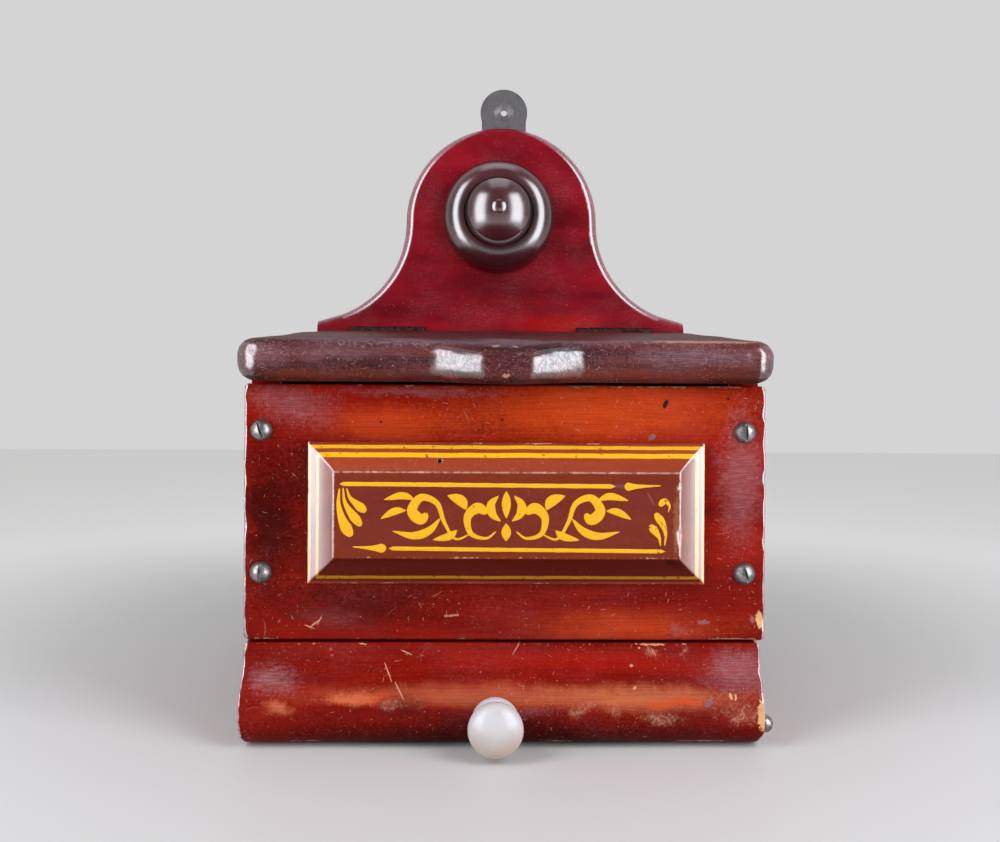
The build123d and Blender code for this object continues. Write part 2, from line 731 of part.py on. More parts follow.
# The front is a dome that an arc of knob_edge_radius joins to the widest circle without a corner.
knob_top = knob_widest + knob_front_rise
edge_middle = knob_radius - knob_edge_radius
dome_radius = (edge_middle**2 + knob_front_rise**2 - knob_edge_radius**2) / (2 * (knob_front_rise - knob_edge_radius))
dome_share = dome_radius / (dome_radius - knob_edge_radius)
dome_edge = (dome_share * edge_middle, knob_top - dome_radius + dome_share * (dome_radius - knob_front_rise))
with BuildPart() as knob_stem:
    with BuildSketch(knob_profile_plane):
        with BuildLine():
            Polyline(
                (0, -stem_in_wood),
                (stem_radius, -0.7 * stem_in_wood),
                (stem_radius, stem_in_knob),
                (0, stem_in_knob),
                close=True,
            )
        make_face()
    revolve(axis=knob_axis)
knob_stem.part.label = "knob_stem"
export_step(knob_stem.part, "parts/knob_stem.step")

with BuildPart() as drawer_knob:
    with BuildSketch(knob_profile_plane):
        with BuildLine():
            Line((0, 0), (knob_flange_back_radius, 0))
            ThreePointArc(
                (knob_flange_back_radius, 0),
                (knob_flange_radius, knob_flange_length / 2),
                (neck_shoulder_radius, knob_flange_length),
            )
            ThreePointArc(
                (neck_shoulder_radius, knob_flange_length),
                (knob_neck_radius, knob_flange_length + knob_neck_length / 2),
                (neck_shoulder_radius, neck_end),
            )
            TangentArc((knob_radius, knob_widest), (neck_shoulder_radius, neck_end), tangent=(0, -1))
            TangentArc((knob_radius, knob_widest), dome_edge, tangent=(0, 1))
            TangentArc((0, knob_top), dome_edge, tangent=(1, 0))
            Line((0, knob_top), (0, 0))
        make_face()
    revolve(axis=knob_axis)
    add(knob_stem.part, mode=Mode.SUBTRACT)
drawer_knob.part.label = "drawer_knob"
export_step(drawer_knob.part, "parts/drawer_knob.step")

# Drawer front: an ogee that falls from the plane of the front board, hollows and swells to a round lower edge.
crest_z = drawer_front_lift + swell_crest_height
hollow_z = drawer_top_z - hollow_start
swell_y = front_y - swell_projection
turn_point = (front_y - hollow_share * swell_projection, hollow_z - hollow_share * (hollow_z - crest_z))
with BuildPart() as drawer_front:
    with BuildSketch(Plane.YZ.offset(drawer_front_shift)):
        with BuildLine():
            Line((drawer_back_face_y, drawer_front_lift), (drawer_back_face_y, drawer_top_z))
            Line((drawer_back_face_y, drawer_top_z), (front_y, drawer_top_z))
            Line((front_y, drawer_top_z), (front_y, hollow_z))
            TangentArc((front_y, hollow_z), turn_point, tangent=(0, -1))
            TangentArc((swell_y, crest_z), turn_point, tangent=(0, 1))
            Line((swell_y, crest_z), (swell_y, crest_z - swell_crest_flat))
            TangentArc((swell_y, crest_z - swell_crest_flat), (front_y, drawer_front_lift), tangent=(0, -1))
            Line((front_y, drawer_front_lift), (drawer_back_face_y, drawer_front_lift))
        make_face()
    extrude(amount=drawer_front_width / 2, both=True)
    ends = drawer_front.faces().filter_by(Axis.X)
    end_edges = ends.edges().filter_by(lambda edge: edge.center().Y < drawer_back_face_y - 1)
    top_edge = drawer_front.edges().filter_by(Axis.X).filter_by_position(Axis.Z, drawer_top_z, drawer_top_z)
    fillet(end_edges + top_edge.sort_by(Axis.Y)[0:1], drawer_arris)
    for hand in (-1, 1):
        with Locations((hand * (drawer_half - drawer_side_thickness / 2), drawer_back_face_y, drawer_low_z)):
            Box(
                drawer_side_thickness,
                drawer_housing,
                drawer_side_top_z - drawer_low_z,
                align=(Align.CENTER, Align.MAX, Align.MIN),
                mode=Mode.SUBTRACT,
            )
    with Locations((0, drawer_back_face_y, drawer_bottom_z)):
        Box(
            2 * (drawer_half - drawer_side_thickness),
            drawer_groove_depth,
            drawer_bottom_thickness,
            align=(Align.CENTER, Align.MAX, Align.MIN),
            mode=Mode.SUBTRACT,
        )
    with Locations(facing(knob_shift, swell_y, knob_axis_height, (0, -1, 0))):
        Cylinder(knob_flange_radius + 0.2, 2 * knob_seat, mode=Mode.SUBTRACT)
    add([knob_stem.part, drawer_end_screw.part], mode=Mode.SUBTRACT)
drawer_front.part.label = "drawer_front"
export_step(drawer_front.part, "parts/drawer_front.step")

# Drawer sides, housed in the front and grooved for the bottom.
for hand, hand_name in ((-1, "left"), (1, "right")):
    with BuildPart() as drawer_side:
        with Locations((hand * drawer_half, drawer_back_face_y - drawer_housing, drawer_low_z)):
            Box(
                drawer_side_thickness,
                drawer_end_y - drawer_back_face_y + drawer_housing,
                drawer_side_top_z - drawer_low_z,
                align=(Align.MIN if hand < 0 else Align.MAX, Align.MIN, Align.MIN),
            )
        with Locations((hand * (drawer_half - drawer_side_thickness), drawer_back_face_y, drawer_bottom_z)):
            Box(
                2 * drawer_groove_depth,
                drawer_end_y - drawer_back_face_y,
                drawer_bottom_thickness,
                align=(Align.CENTER, Align.MIN, Align.MIN),
                mode=Mode.SUBTRACT,
            )
        add(drawer_nails.part, mode=Mode.SUBTRACT)
    drawer_side.part.label = f"drawer_side_{hand_name}"
    export_step(drawer_side.part, f"parts/drawer_side_{hand_name}.step")

with BuildPart() as drawer_back:
    with Locations((0, drawer_end_y, drawer_bottom_top_z)):
        Box(
            2 * (drawer_half - drawer_side_thickness),
            drawer_back_thickness,
            drawer_back_height,
            align=(Align.CENTER, Align.MAX, Align.MIN),
        )
    add(drawer_nails.part, mode=Mode.SUBTRACT)
drawer_back.part.label = "drawer_back"
export_step(drawer_back.part, "parts/drawer_back.step")

with BuildPart() as drawer_bottom:
    with Locations((0, drawer_back_face_y, drawer_bottom_z)):
        Box(
            2 * (drawer_half - drawer_side_thickness + drawer_groove_depth),
            drawer_end_y - drawer_back_face_y,
            drawer_bottom_thickness,
            align=(Align.CENTER, Align.MIN, Align.MIN),
        )
        Box(
            2 * (drawer_half - drawer_side_thickness),
            drawer_groove_depth,
            drawer_bottom_thickness,
            align=(Align.CENTER, Align.MAX, Align.MIN),
        )
drawer_bottom.part.label = "drawer_bottom"
export_step(drawer_bottom.part, "parts/drawer_bottom.step")
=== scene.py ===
"""Dresses the packed wall salt box: worn stained boards, painted lines and scrolls, porcelain and steel."""

import functools
import math

import bmesh
import bpy
import numpy as np
from mathutils import Matrix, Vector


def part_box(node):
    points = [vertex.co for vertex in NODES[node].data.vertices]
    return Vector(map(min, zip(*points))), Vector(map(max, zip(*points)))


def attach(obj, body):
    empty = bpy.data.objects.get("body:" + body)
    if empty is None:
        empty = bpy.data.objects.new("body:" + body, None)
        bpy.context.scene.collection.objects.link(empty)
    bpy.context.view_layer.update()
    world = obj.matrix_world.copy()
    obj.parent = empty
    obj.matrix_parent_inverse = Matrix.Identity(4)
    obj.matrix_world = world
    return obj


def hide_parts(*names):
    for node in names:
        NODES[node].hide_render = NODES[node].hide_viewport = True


bl_info = {
    "name": "Wall Salt Box",
    "version": (1, 0, 0),
    "blender": (4, 5, 0),
    "location": "View3D > Sidebar > Salt Box",
    "description": "Finishes a wall salt box with a hinged lid and a small drawer",
    "category": "Object",
}

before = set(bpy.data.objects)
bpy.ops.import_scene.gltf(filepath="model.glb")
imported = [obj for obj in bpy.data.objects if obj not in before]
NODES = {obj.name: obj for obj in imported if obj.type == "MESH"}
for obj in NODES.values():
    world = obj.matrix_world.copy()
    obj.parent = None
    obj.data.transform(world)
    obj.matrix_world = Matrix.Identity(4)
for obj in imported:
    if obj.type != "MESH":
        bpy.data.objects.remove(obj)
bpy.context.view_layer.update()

MM = 0.001
ORIGIN = (0.0, 0.0, 0.0)
FULL_TURN = 6.2832


def box_mm(node):
    """Lowest and highest corner of a node, in millimetres."""
    low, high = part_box(node)
    return tuple(v / MM for v in low), tuple(v / MM for v in high)


FRONT_LOW, FRONT_HIGH = box_mm("front_board")
DRAWER_LOW, DRAWER_HIGH = box_mm("drawer_front")
PLAQUE_LOW, PLAQUE_HIGH = box_mm("plaque")
LID_LOW, LID_HIGH = box_mm("lid")
PIN_LOW, PIN_HIGH = box_mm("hinge_pin_right")
FRONT_Y = FRONT_LOW[1]
PLAQUE_X = (PLAQUE_LOW[0] + PLAQUE_HIGH[0]) / 2
PLAQUE_Z = (PLAQUE_LOW[2] + PLAQUE_HIGH[2]) / 2
PLAQUE_FACE_Y = PLAQUE_LOW[1]
PLAQUE_BACK_Y = PLAQUE_HIGH[1]
COVE_START = math.radians(18.0)  # slope of the cove at the outer edge
PIN_HOLE = (PLAQUE_X - 23.6, PLAQUE_HIGH[2] - 6.5, 0.75)  # the open pin hole's place and radius
HINGE_X = (PIN_LOW[0] + PIN_HIGH[0]) / 2
HINGE_AXIS = ((PIN_LOW[1] + PIN_HIGH[1]) / 2, (PIN_LOW[2] + PIN_HIGH[2]) / 2)
LID_SLOPE = math.radians(7.0)
LID_FOOT_Z = FRONT_HIGH[2] + 1.0  # lid's lower face in the plane of the front board's face
LID_BACK_Y = LID_HIGH[1]
LID_NOSE = -9.2  # front of the lid and of its lip, along the slope from the front board's face
LID_LIP = -18.2
LID_FLANK = math.radians(27.0)  # slope of the lip's flanks


# ---------------------------------------------------------------- settings


def colour(name, description, default):
    """A colour setting."""
    return bpy.props.FloatVectorProperty(
        name=name, description=description, subtype="COLOR", size=3, min=0.0, max=1.0, default=default
    )


def length(name, description, default, low, high):
    """A length setting, in metres."""
    return bpy.props.FloatProperty(
        name=name, description=description, subtype="DISTANCE", unit="LENGTH",
        min=low, max=high, default=default,
    )


def share(name, description, default):
    """A setting from 0 to 1."""
    return bpy.props.FloatProperty(
        name=name, description=description, subtype="FACTOR", min=0.0, max=1.0, default=default
    )


def angle(name, description, default):
    """An angle setting, given in degrees."""
    return bpy.props.FloatProperty(
        name=name, description=description, subtype="ANGLE", unit="ROTATION", default=math.radians(default)
    )


class SaltBoxWood(bpy.types.PropertyGroup):
    """Colours and wear of the stained boards."""

    deep_stain: colour("Deep stain", "Stain where it lies thickest", (0.115, 0.002, 0.001))
    bright_stain: colour("Bright stain", "Stain where it has been rubbed thin", (0.270, 0.009, 0.003))
    bare_wood: colour("Bare wood", "Wood that shows where an edge is chipped", (0.700, 0.380, 0.160))
    # This colour also paints the lamps' sheen on the boards where it is placed as a mark.
    dust: colour("Dust", "Grey-pink bloom on the polish", (0.300, 0.120, 0.125))
    gloss: share("Polish roughness", "Roughness of the old polish between the scratches", 0.38)
    edge_wear: length("Edge wear", "How far the bare wood reaches in from an arris", 0.00045, 0.0, 0.005)


class SaltBoxPaint(bpy.types.PropertyGroup):
    """The yellow lines and scrolls of the plaque."""

    yellow: colour("Yellow", "Colour of the lining paint", (0.84, 0.44, 0.009))
    film: length("Film", "Thickness of the paint in the middle of a stroke", 0.00008, 0.00002, 0.0005)


class SaltBoxLid(bpy.types.PropertyGroup):
    """The lid's shape and wear."""

    thickness: length("Thickness", "Thickness of the lid", 0.015, 0.005, 0.03)
    bullnose: length("Bullnose", "Radius of the rounded rim", 0.0060, 0.001, 0.0075)
    lip_wear: length("Lip wear", "How much hands have worn off the top of the lip", 0.003, 0.0, 0.006)
    unevenness: length("Unevenness", "Height of the slow waves in the top and the rim", 0.00022, 0.0, 0.001)


class SaltBoxFittings(bpy.types.PropertyGroup):
    """Metal and porcelain."""

    steel: colour("Screw steel", "Bright steel of the screw heads", (0.36, 0.34, 0.33))
    zinc: colour("Plate zinc", "Dull coat of the hanging plate", (0.125, 0.120, 0.120))
    glaze: colour("Glaze", "Colour of the porcelain", (0.58, 0.572, 0.575))


class SaltBoxStage(bpy.types.PropertyGroup):
    """Floor, light and camera."""

    floor: colour("Floor", "Colour of the floor", (0.66, 0.655, 0.64))
    backdrop: colour("Backdrop", "Colour behind the floor", (0.66, 0.66, 0.66))
    fade: share("Far floor", "How much of the backdrop's colour is added to the floor far from the box", 0.58)
    room_dark: share("Dark room", "Strength of the backdrop that polish mirrors from the camera's side", 0.12)
    room_light: share("Room light", "Strength of the room's own soft light", 0.28)
    eye_height: length("Eye height", "Camera height above the floor", 0.1154, 0.0, 1.0)
    eye_distance: length("Eye distance", "Camera to the face of the front board", 0.316, 0.1, 2.0)
    eye_side: length("Eye offset", "Camera to the right of the box's middle", -0.0069, -1.0, 1.0)
    turn: angle("Turn", "Camera's turn to the right", 0.85)
    roll: angle("Roll", "Camera's roll, which turns the picture clockwise", 0.3)
    lens: bpy.props.FloatProperty(
        name="Lens", description="Focal length in millimetres on a 36 mm wide sensor",
        min=10.0, max=200.0, default=31.93,
    )
    lamp_power: bpy.props.FloatProperty(
        name="Lamp power", description="Power of the left soft lamp, which the others follow",
        subtype="POWER", unit="POWER", min=0.0, default=4.3,
    )


# ---------------------------------------------------------------- node wiring


def operator(operation, swapped=False):
    """A method that makes a node of that operation out of a value and another one."""

    def apply(self, other):
        pair = (other, self) if swapped else (self, other)
        return self.wires.combine(operation, *pair)

    return apply


class Value:
    """A node's output. Python's operators on it add Math nodes, or Vector Math nodes on a vector."""

    __add__ = __radd__ = operator("ADD")
    __mul__ = __rmul__ = operator("MULTIPLY")
    __sub__, __rsub__ = operator("SUBTRACT"), operator("SUBTRACT", swapped=True)
    __truediv__, __rtruediv__ = operator("DIVIDE"), operator("DIVIDE", swapped=True)
    __lt__, __gt__ = operator("LESS_THAN"), operator("GREATER_THAN")

    def __init__(self, wires, socket):
        self.wires, self.socket = wires, socket
        self.is_number = socket.type == "VALUE"

    def __abs__(self):
        return (self.wires.math if self.is_number else self.wires.vector)("ABSOLUTE", self)


class Wires:
    """Adds nodes to one tree and joins them, so that a material reads as a list of steps."""

    def __init__(self, tree):
        self.tree = tree

    def node(self, kind, **fields):
        made = self.tree.nodes.new(kind)
        for field, value in fields.items():
            setattr(made, field, value)
        return made

    def read(self, node, output):
        return Value(self, node.outputs[output])

    def put(self, socket, value):
        if isinstance(value, Value):
            self.tree.links.new(value.socket, socket)
        elif value is not None:
            socket.default_value = value

    def fill(self, made, output, *values):
        for socket, value in zip(made.inputs, values):
            self.put(socket, value)
        return self.read(made, output)

    def math(self, operation, *values, clamp=False):
        return self.fill(self.node("ShaderNodeMath", operation=operation, use_clamp=clamp), 0, *values)

    def vector(self, operation, *values):
        output = "Value" if operation == "LENGTH" else "Vector"
        return self.fill(self.node("ShaderNodeVectorMath", operation=operation), output, *values)

    def combine(self, operation, a, b):
        """One operation on a Value and another one or a number. A vector times a number is scaled."""
        a_number, b_number = (getattr(value, "is_number", isinstance(value, float)) for value in (a, b))
        if a_number and b_number:
            return self.math(operation, a, b)
        if b_number:
            return self.vector("SCALE", a, None, None, b)
        return self.vector(operation, a, b)

    def most(self, first, *others):
        for other in others:
            first = self.math("MAXIMUM", first, other)
        return first

    def least(self, first, *others):
        for other in others:
            first = self.math("MINIMUM", first, other)
        return first

    def parts(self, vector):
        made = self.node("ShaderNodeSeparateXYZ")
        self.put(made.inputs[0], vector)
        return tuple(self.read(made, axis) for axis in range(3))

    def join(self, x, y, z):
        return self.fill(self.node("ShaderNodeCombineXYZ"), 0, x, y, z)

    def noise(self, vector, scale=1.0, detail=2.0, roughness=0.5, distortion=0.0, output="Fac"):
        made = self.node("ShaderNodeTexNoise")
        self.fit(made, Vector=vector, Scale=scale, Detail=detail, Roughness=roughness, Distortion=distortion)
        return self.read(made, output)

    def cells(self, vector, dimensions):
        """A Voronoi node with cells of size 1."""
        made = self.node("ShaderNodeTexVoronoi", voronoi_dimensions=dimensions, feature="F1")
        self.fit(made, Vector=vector, Scale=1.0)
        return made

    def step(self, value, low, high):
        """0 below low and 1 above high, with a smooth rise between. low may be above high."""
        made = self.node("ShaderNodeMapRange", interpolation_type="SMOOTHSTEP")
        return self.fill(made, "Result", value, low, high)

    def mix(self, factor, a, b):
        made = self.node("ShaderNodeMix", data_type="RGBA")
        self.put(made.inputs[0], factor)
        for socket, value in zip(made.inputs[6:8], (a, b)):
            self.put(socket, value if isinstance(value, Value) else (*value, 1.0))
        return self.read(made, 2)

    def fit(self, made, **inputs):
        """Fills a node's inputs by name, with _ for each space."""
        for name, value in inputs.items():
            self.put(made.inputs[name.replace("_", " ")], value)

    def group(self, tree, **inputs):
        made = self.node("ShaderNodeGroup", node_tree=tree)
        self.fit(made, **inputs)
        return {socket.name: Value(self, socket) for socket in made.outputs}

    def own(self, output):
        """An output of the Texture Coordinate node."""
        return self.read(self.node("ShaderNodeTexCoord"), output)

    def wear(self):
        """The mesh's own worn attribute."""
        return self.read(self.node("ShaderNodeAttribute", attribute_name="worn"), "Fac")

    def rays(self, *kinds):
        """1 for a ray of one of those kinds, by the names of Light Path."""
        path = self.node("ShaderNodeLightPath")
        return self.most(*(self.read(path, f"Is {kind} Ray") for kind in kinds))


def new_group(name, inputs, outputs):
    """A shader node group. Inputs are name: default, and a tuple default makes a vector socket."""
    tree = bpy.data.node_groups.new(name, "ShaderNodeTree")
    for label, default in inputs.items():
        kind = "NodeSocketVector" if isinstance(default, tuple) else "NodeSocketFloat"
        socket = tree.interface.new_socket(name=label, in_out="INPUT", socket_type=kind)
        socket.default_value = default
    for label in outputs:
        tree.interface.new_socket(name=label, in_out="OUTPUT", socket_type="NodeSocketFloat")
    w = Wires(tree)
    given = [Value(w, socket) for socket in w.node("NodeGroupInput").outputs if socket.name]
    return tree, w, given, w.node("NodeGroupOutput")


def grain_group():
    """Wood figure: broad bands, fine streaks and short dark pores. X runs along the grain, in millimetres."""
    tree, w, (place, length, height, width), out = new_group(
        "Wood grain",
        {"Vector": ORIGIN, "Figure length": 80.0, "Figure height": 13.0, "Streak width": 0.27},
        ("Figure", "Streak", "Pores"),
    )
    x, y, z = w.parts(place)
    drift = w.noise(place * (0.012, 0.03, 0.03), detail=1.0)
    shifted = drift * 8.0 + y
    low = shifted / height
    figure = w.join(x / length, low, z / height)
    w.fit(out, Figure=w.noise(figure, detail=3.0, roughness=0.55, distortion=0.4))
    across = shifted / width
    deep = z / width
    w.fit(out, Streak=w.noise(w.join(x * 0.045, across, deep), roughness=0.6))
    pores = w.noise(place * (0.3, 4.2, 4.2), detail=1.0)
    w.fit(out, Pores=w.step(pores, 0.58, 0.72))
    return tree


def scratch_group():
    """Short scratches. Each Voronoi cell of the XY plane holds one line of its own turn, length and bend."""
    tree, w, (place, cell, length, width, share), out = new_group(
        "Scratches",
        {"Vector": ORIGIN, "Cell": 12.0, "Length": 5.0, "Width": 0.12, "Share": 0.5},
        ("Mask",),
    )
    scaled = place * (1.0 / cell)
    cells = w.cells(scaled, "2D")
    from_middle = (scaled - w.read(cells, "Position")) * cell
    chance, turn, size = w.parts(w.read(cells, "Color"))
    u, v, _ = w.parts(from_middle)
    angle = turn * FULL_TURN
    cosine, sine = w.math("COSINE", angle), w.math("SINE", angle)
    along = u * cosine + v * sine
    across = v * cosine - u * sine
    bend = (size - 0.5) * 0.14
    across = abs(across + along * along * bend)
    half = length * 0.5 * (0.3 + size * size)
    taper = w.step(abs(along) / half, 1.0, 0.2)
    line = w.step(across / (width * (taper + 0.02)), 1.0, 0.3)
    kept = chance < share
    w.fit(out, Mask=line * taper * kept)
    return tree


def nick_group():
    """Small nicks and specks: the middles of a share of 3D Voronoi cells, each with its own size."""
    tree, w, (place, cell, reach, share, torn), out = new_group(
        "Nicks", {"Vector": ORIGIN, "Cell": 5.0, "Radius": 0.3, "Share": 0.4, "Torn": 0.5}, ("Mask",)
    )
    scaled = place * (1.0 / cell)
    cells = w.cells(scaled, "3D")
    chance, size, _ = w.parts(w.read(cells, "Color"))
    distance = w.read(cells, "Distance") * cell
    radius = reach * (0.35 + size * 1.6)
    rough = distance * (0.4 + torn * 1.2)
    dot = w.step(rough / radius, 1.0, 0.55)
    w.fit(out, Mask=dot * (chance < share))
    return tree


def mark_group():
    """One placed mark: an ellipse in the XY plane with a turned axis and a ragged edge."""
    tree, w, (place, centre, size, turn, torn, ragged, soft), out = new_group(
        "Placed mark",
        {
            "Vector": ORIGIN, "Centre": ORIGIN, "Size": (1.0, 1.0, 1.0),
            "Turn": 0.0, "Torn": 0.5, "Ragged": 0.6, "Soft": 0.3,
        },
        ("Mask",),
    )
    u, v, _ = w.parts(place - centre)
    cosine, sine = w.math("COSINE", turn), w.math("SINE", turn)
    along = u * cosine + v * sine
    across = v * cosine - u * sine
    size_x, size_y, _ = w.parts(size)
    reach = w.vector("LENGTH", w.join(along / size_x, across / size_y, 0.0))
    torn = torn - 0.5
    reach = reach + torn * ragged
    w.fit(out, Mask=w.step(reach, 1.0, 1.0 - soft))
    return tree


def arris_group():
    """Wear near a box's edges: the middle one of the distances to its pairs of faces, less some noise."""
    tree, w, (place, low, high, width, torn, ragged), out = new_group(
        "Arris wear",
        {
            "Vector": ORIGIN, "Low": (-1.0, -1.0, -1.0), "High": (1.0, 1.0, 1.0),
            "Width": 0.6, "Torn": 0.5, "Ragged": 2.0,
        },
        ("Mask",),
    )
    to_low = abs(place - low)
    to_high = abs(high - place)
    a, b, c = w.parts(w.vector("MINIMUM", to_low, to_high))
    middle = w.most(w.least(a, b), w.least(w.most(a, b), c))
    slow = w.noise(place, scale=0.09, roughness=0.7) - 0.55
    torn = torn - 0.5
    worn = (slow * -1.5 + torn) * ragged
    w.fit(out, Mask=w.step(middle - worn, width, width * 0.4))
    return tree


def dust_group():
    """Rubbed bloom on the polish: slow clouds broken by fine specks and by short fibres along X."""
    defaults = {"Vector": ORIGIN, "Cloud": 28.0, "Torn": 0.5}
    tree, w, (place, cloud, torn), out = new_group("Bloom", defaults, ("Mask", "Fibre"))
    slow = w.noise(place * (1.0 / cloud), detail=3.0, roughness=0.6)
    fibre = w.noise(place * (0.16, 2.4, 2.4), detail=3.0, roughness=0.65)
    fibre = w.step(fibre, 0.44, 0.66)
    w.fit(out, Fibre=fibre)
    broken = fibre * 0.7 + 0.3
    broken = broken * w.step(torn, 0.28, 0.66)
    w.fit(out, Mask=w.step(slow, 0.4, 0.72) * broken)
    return tree


@functools.cache
def shared(maker):
    """The node group of that maker, made the first time it is asked for."""
    return maker()


def new_material(name):
    """An empty material, its wires, its Principled shader and the object coordinates in millimetres."""
    material = bpy.data.materials.new(name)
    material.use_nodes = True
    tree = material.node_tree
    tree.nodes.clear()
    w = Wires(tree)
    shader = w.node("ShaderNodeBsdfPrincipled")
    surface = w.node("ShaderNodeOutputMaterial")
    tree.links.new(shader.outputs["BSDF"], surface.inputs["Surface"])
    place = w.own("Object") * 1000.0
    return material, w, shader, place


def turned(w, place, order):
    """The coordinates in another order, such as "xzy": first along the grain, then across it on the face."""
    named = dict(zip("xyz", w.parts(place)))
    return w.join(*(named[letter] for letter in order))


def bump(w, height, depth, normal=None):
    """A Bump node whose full height is depth, in millimetres."""
    made = w.node("ShaderNodeBump")
    w.fit(made, Strength=1.0, Distance=depth * MM, Height=height, Normal=normal)
    return w.read(made, "Normal")


def tinted(colour, factor):
    """A colour made darker or lighter."""
    return tuple(factor * v for v in colour)


# ---------------------------------------------------------------- stained wood

LOOK = {  # what a look may set. The stains, haze and roughness come from the settings.
    "shift": 0.0,  # moves the pattern along the grain. All lengths are in millimetres.
    "figure": 80.0,  # length of the grain's figure
    "band": 13.0,  # height of its bands
    "contrast": 2.0,  # strength of the figure
    "streaks": 1.1,  # strength of the fine streaks
    "cloud": 30.0,  # size of the clouds of grey bloom
    "dust": 0.3,  # strength of the bloom; the bloom's colour also paints the lamps' sheen where it is placed as a mark
    "marks": (),  # (kind, u, v, half length, half height, turn in degrees, ragged, strength)
    "scratches": 0.3,  # share of the cells that hold a scratch
    "hairs": 2.3,  # cell of the finest scratches
    "specks": 0.35,  # share of the cells that hold a speck
    "line_strength": 0.62,  # strength of scratches and specks
    "lines": (0.56, 0.25, 0.2),  # their colour
    "worn": False,  # the mesh has the worn attribute
    "box": None,  # or low and high corner, for wear near the box's edges
    "pale": (0.56, 0.26, 0.16),  # colour of worn places, beside bare wood
    "coat": 0.025,  # weight of the coat
    "coat_ior": 2.4,
    "coat_roughness": 0.14,
    "rim": None,  # weight of the coat on rounded ends
    "rim_pale": 0.0,  # how strongly they are painted pale lilac: a painted highlight of the lamps on the rounded ends, with rubbed wear
    "top": None,  # order of the axes for the scratches on a level top
    "broken": 0.0,  # share of the coat that the scuffs take
}
TINTS = {  # colours of the placed marks
    "dark": (0.010, 0.007, 0.009),
    "orange": (0.58, 0.062, 0.010),
    # painted highlight along the drawer front's swell
    "amber": (0.58, 0.165, 0.070),
    "red": (0.42, 0.008, 0.003),
    "tan": (0.56, 0.26, 0.16),
    "russet": (0.150, 0.022, 0.010),
    "plum": (0.050, 0.006, 0.008),
    "grey": (0.17, 0.14, 0.17),
    "pink": (0.40, 0.05, 0.06),
}
SHARP = ("bare", "dark")  # marks that are chips and holes, which sink
BROAD = 1.5  # half height from which a stain is soft and follows the drifting coordinates
STAIN_RELIEF, WAVE_RELIEF = 0.07, 0.30  # heights of the fine and the slow bump


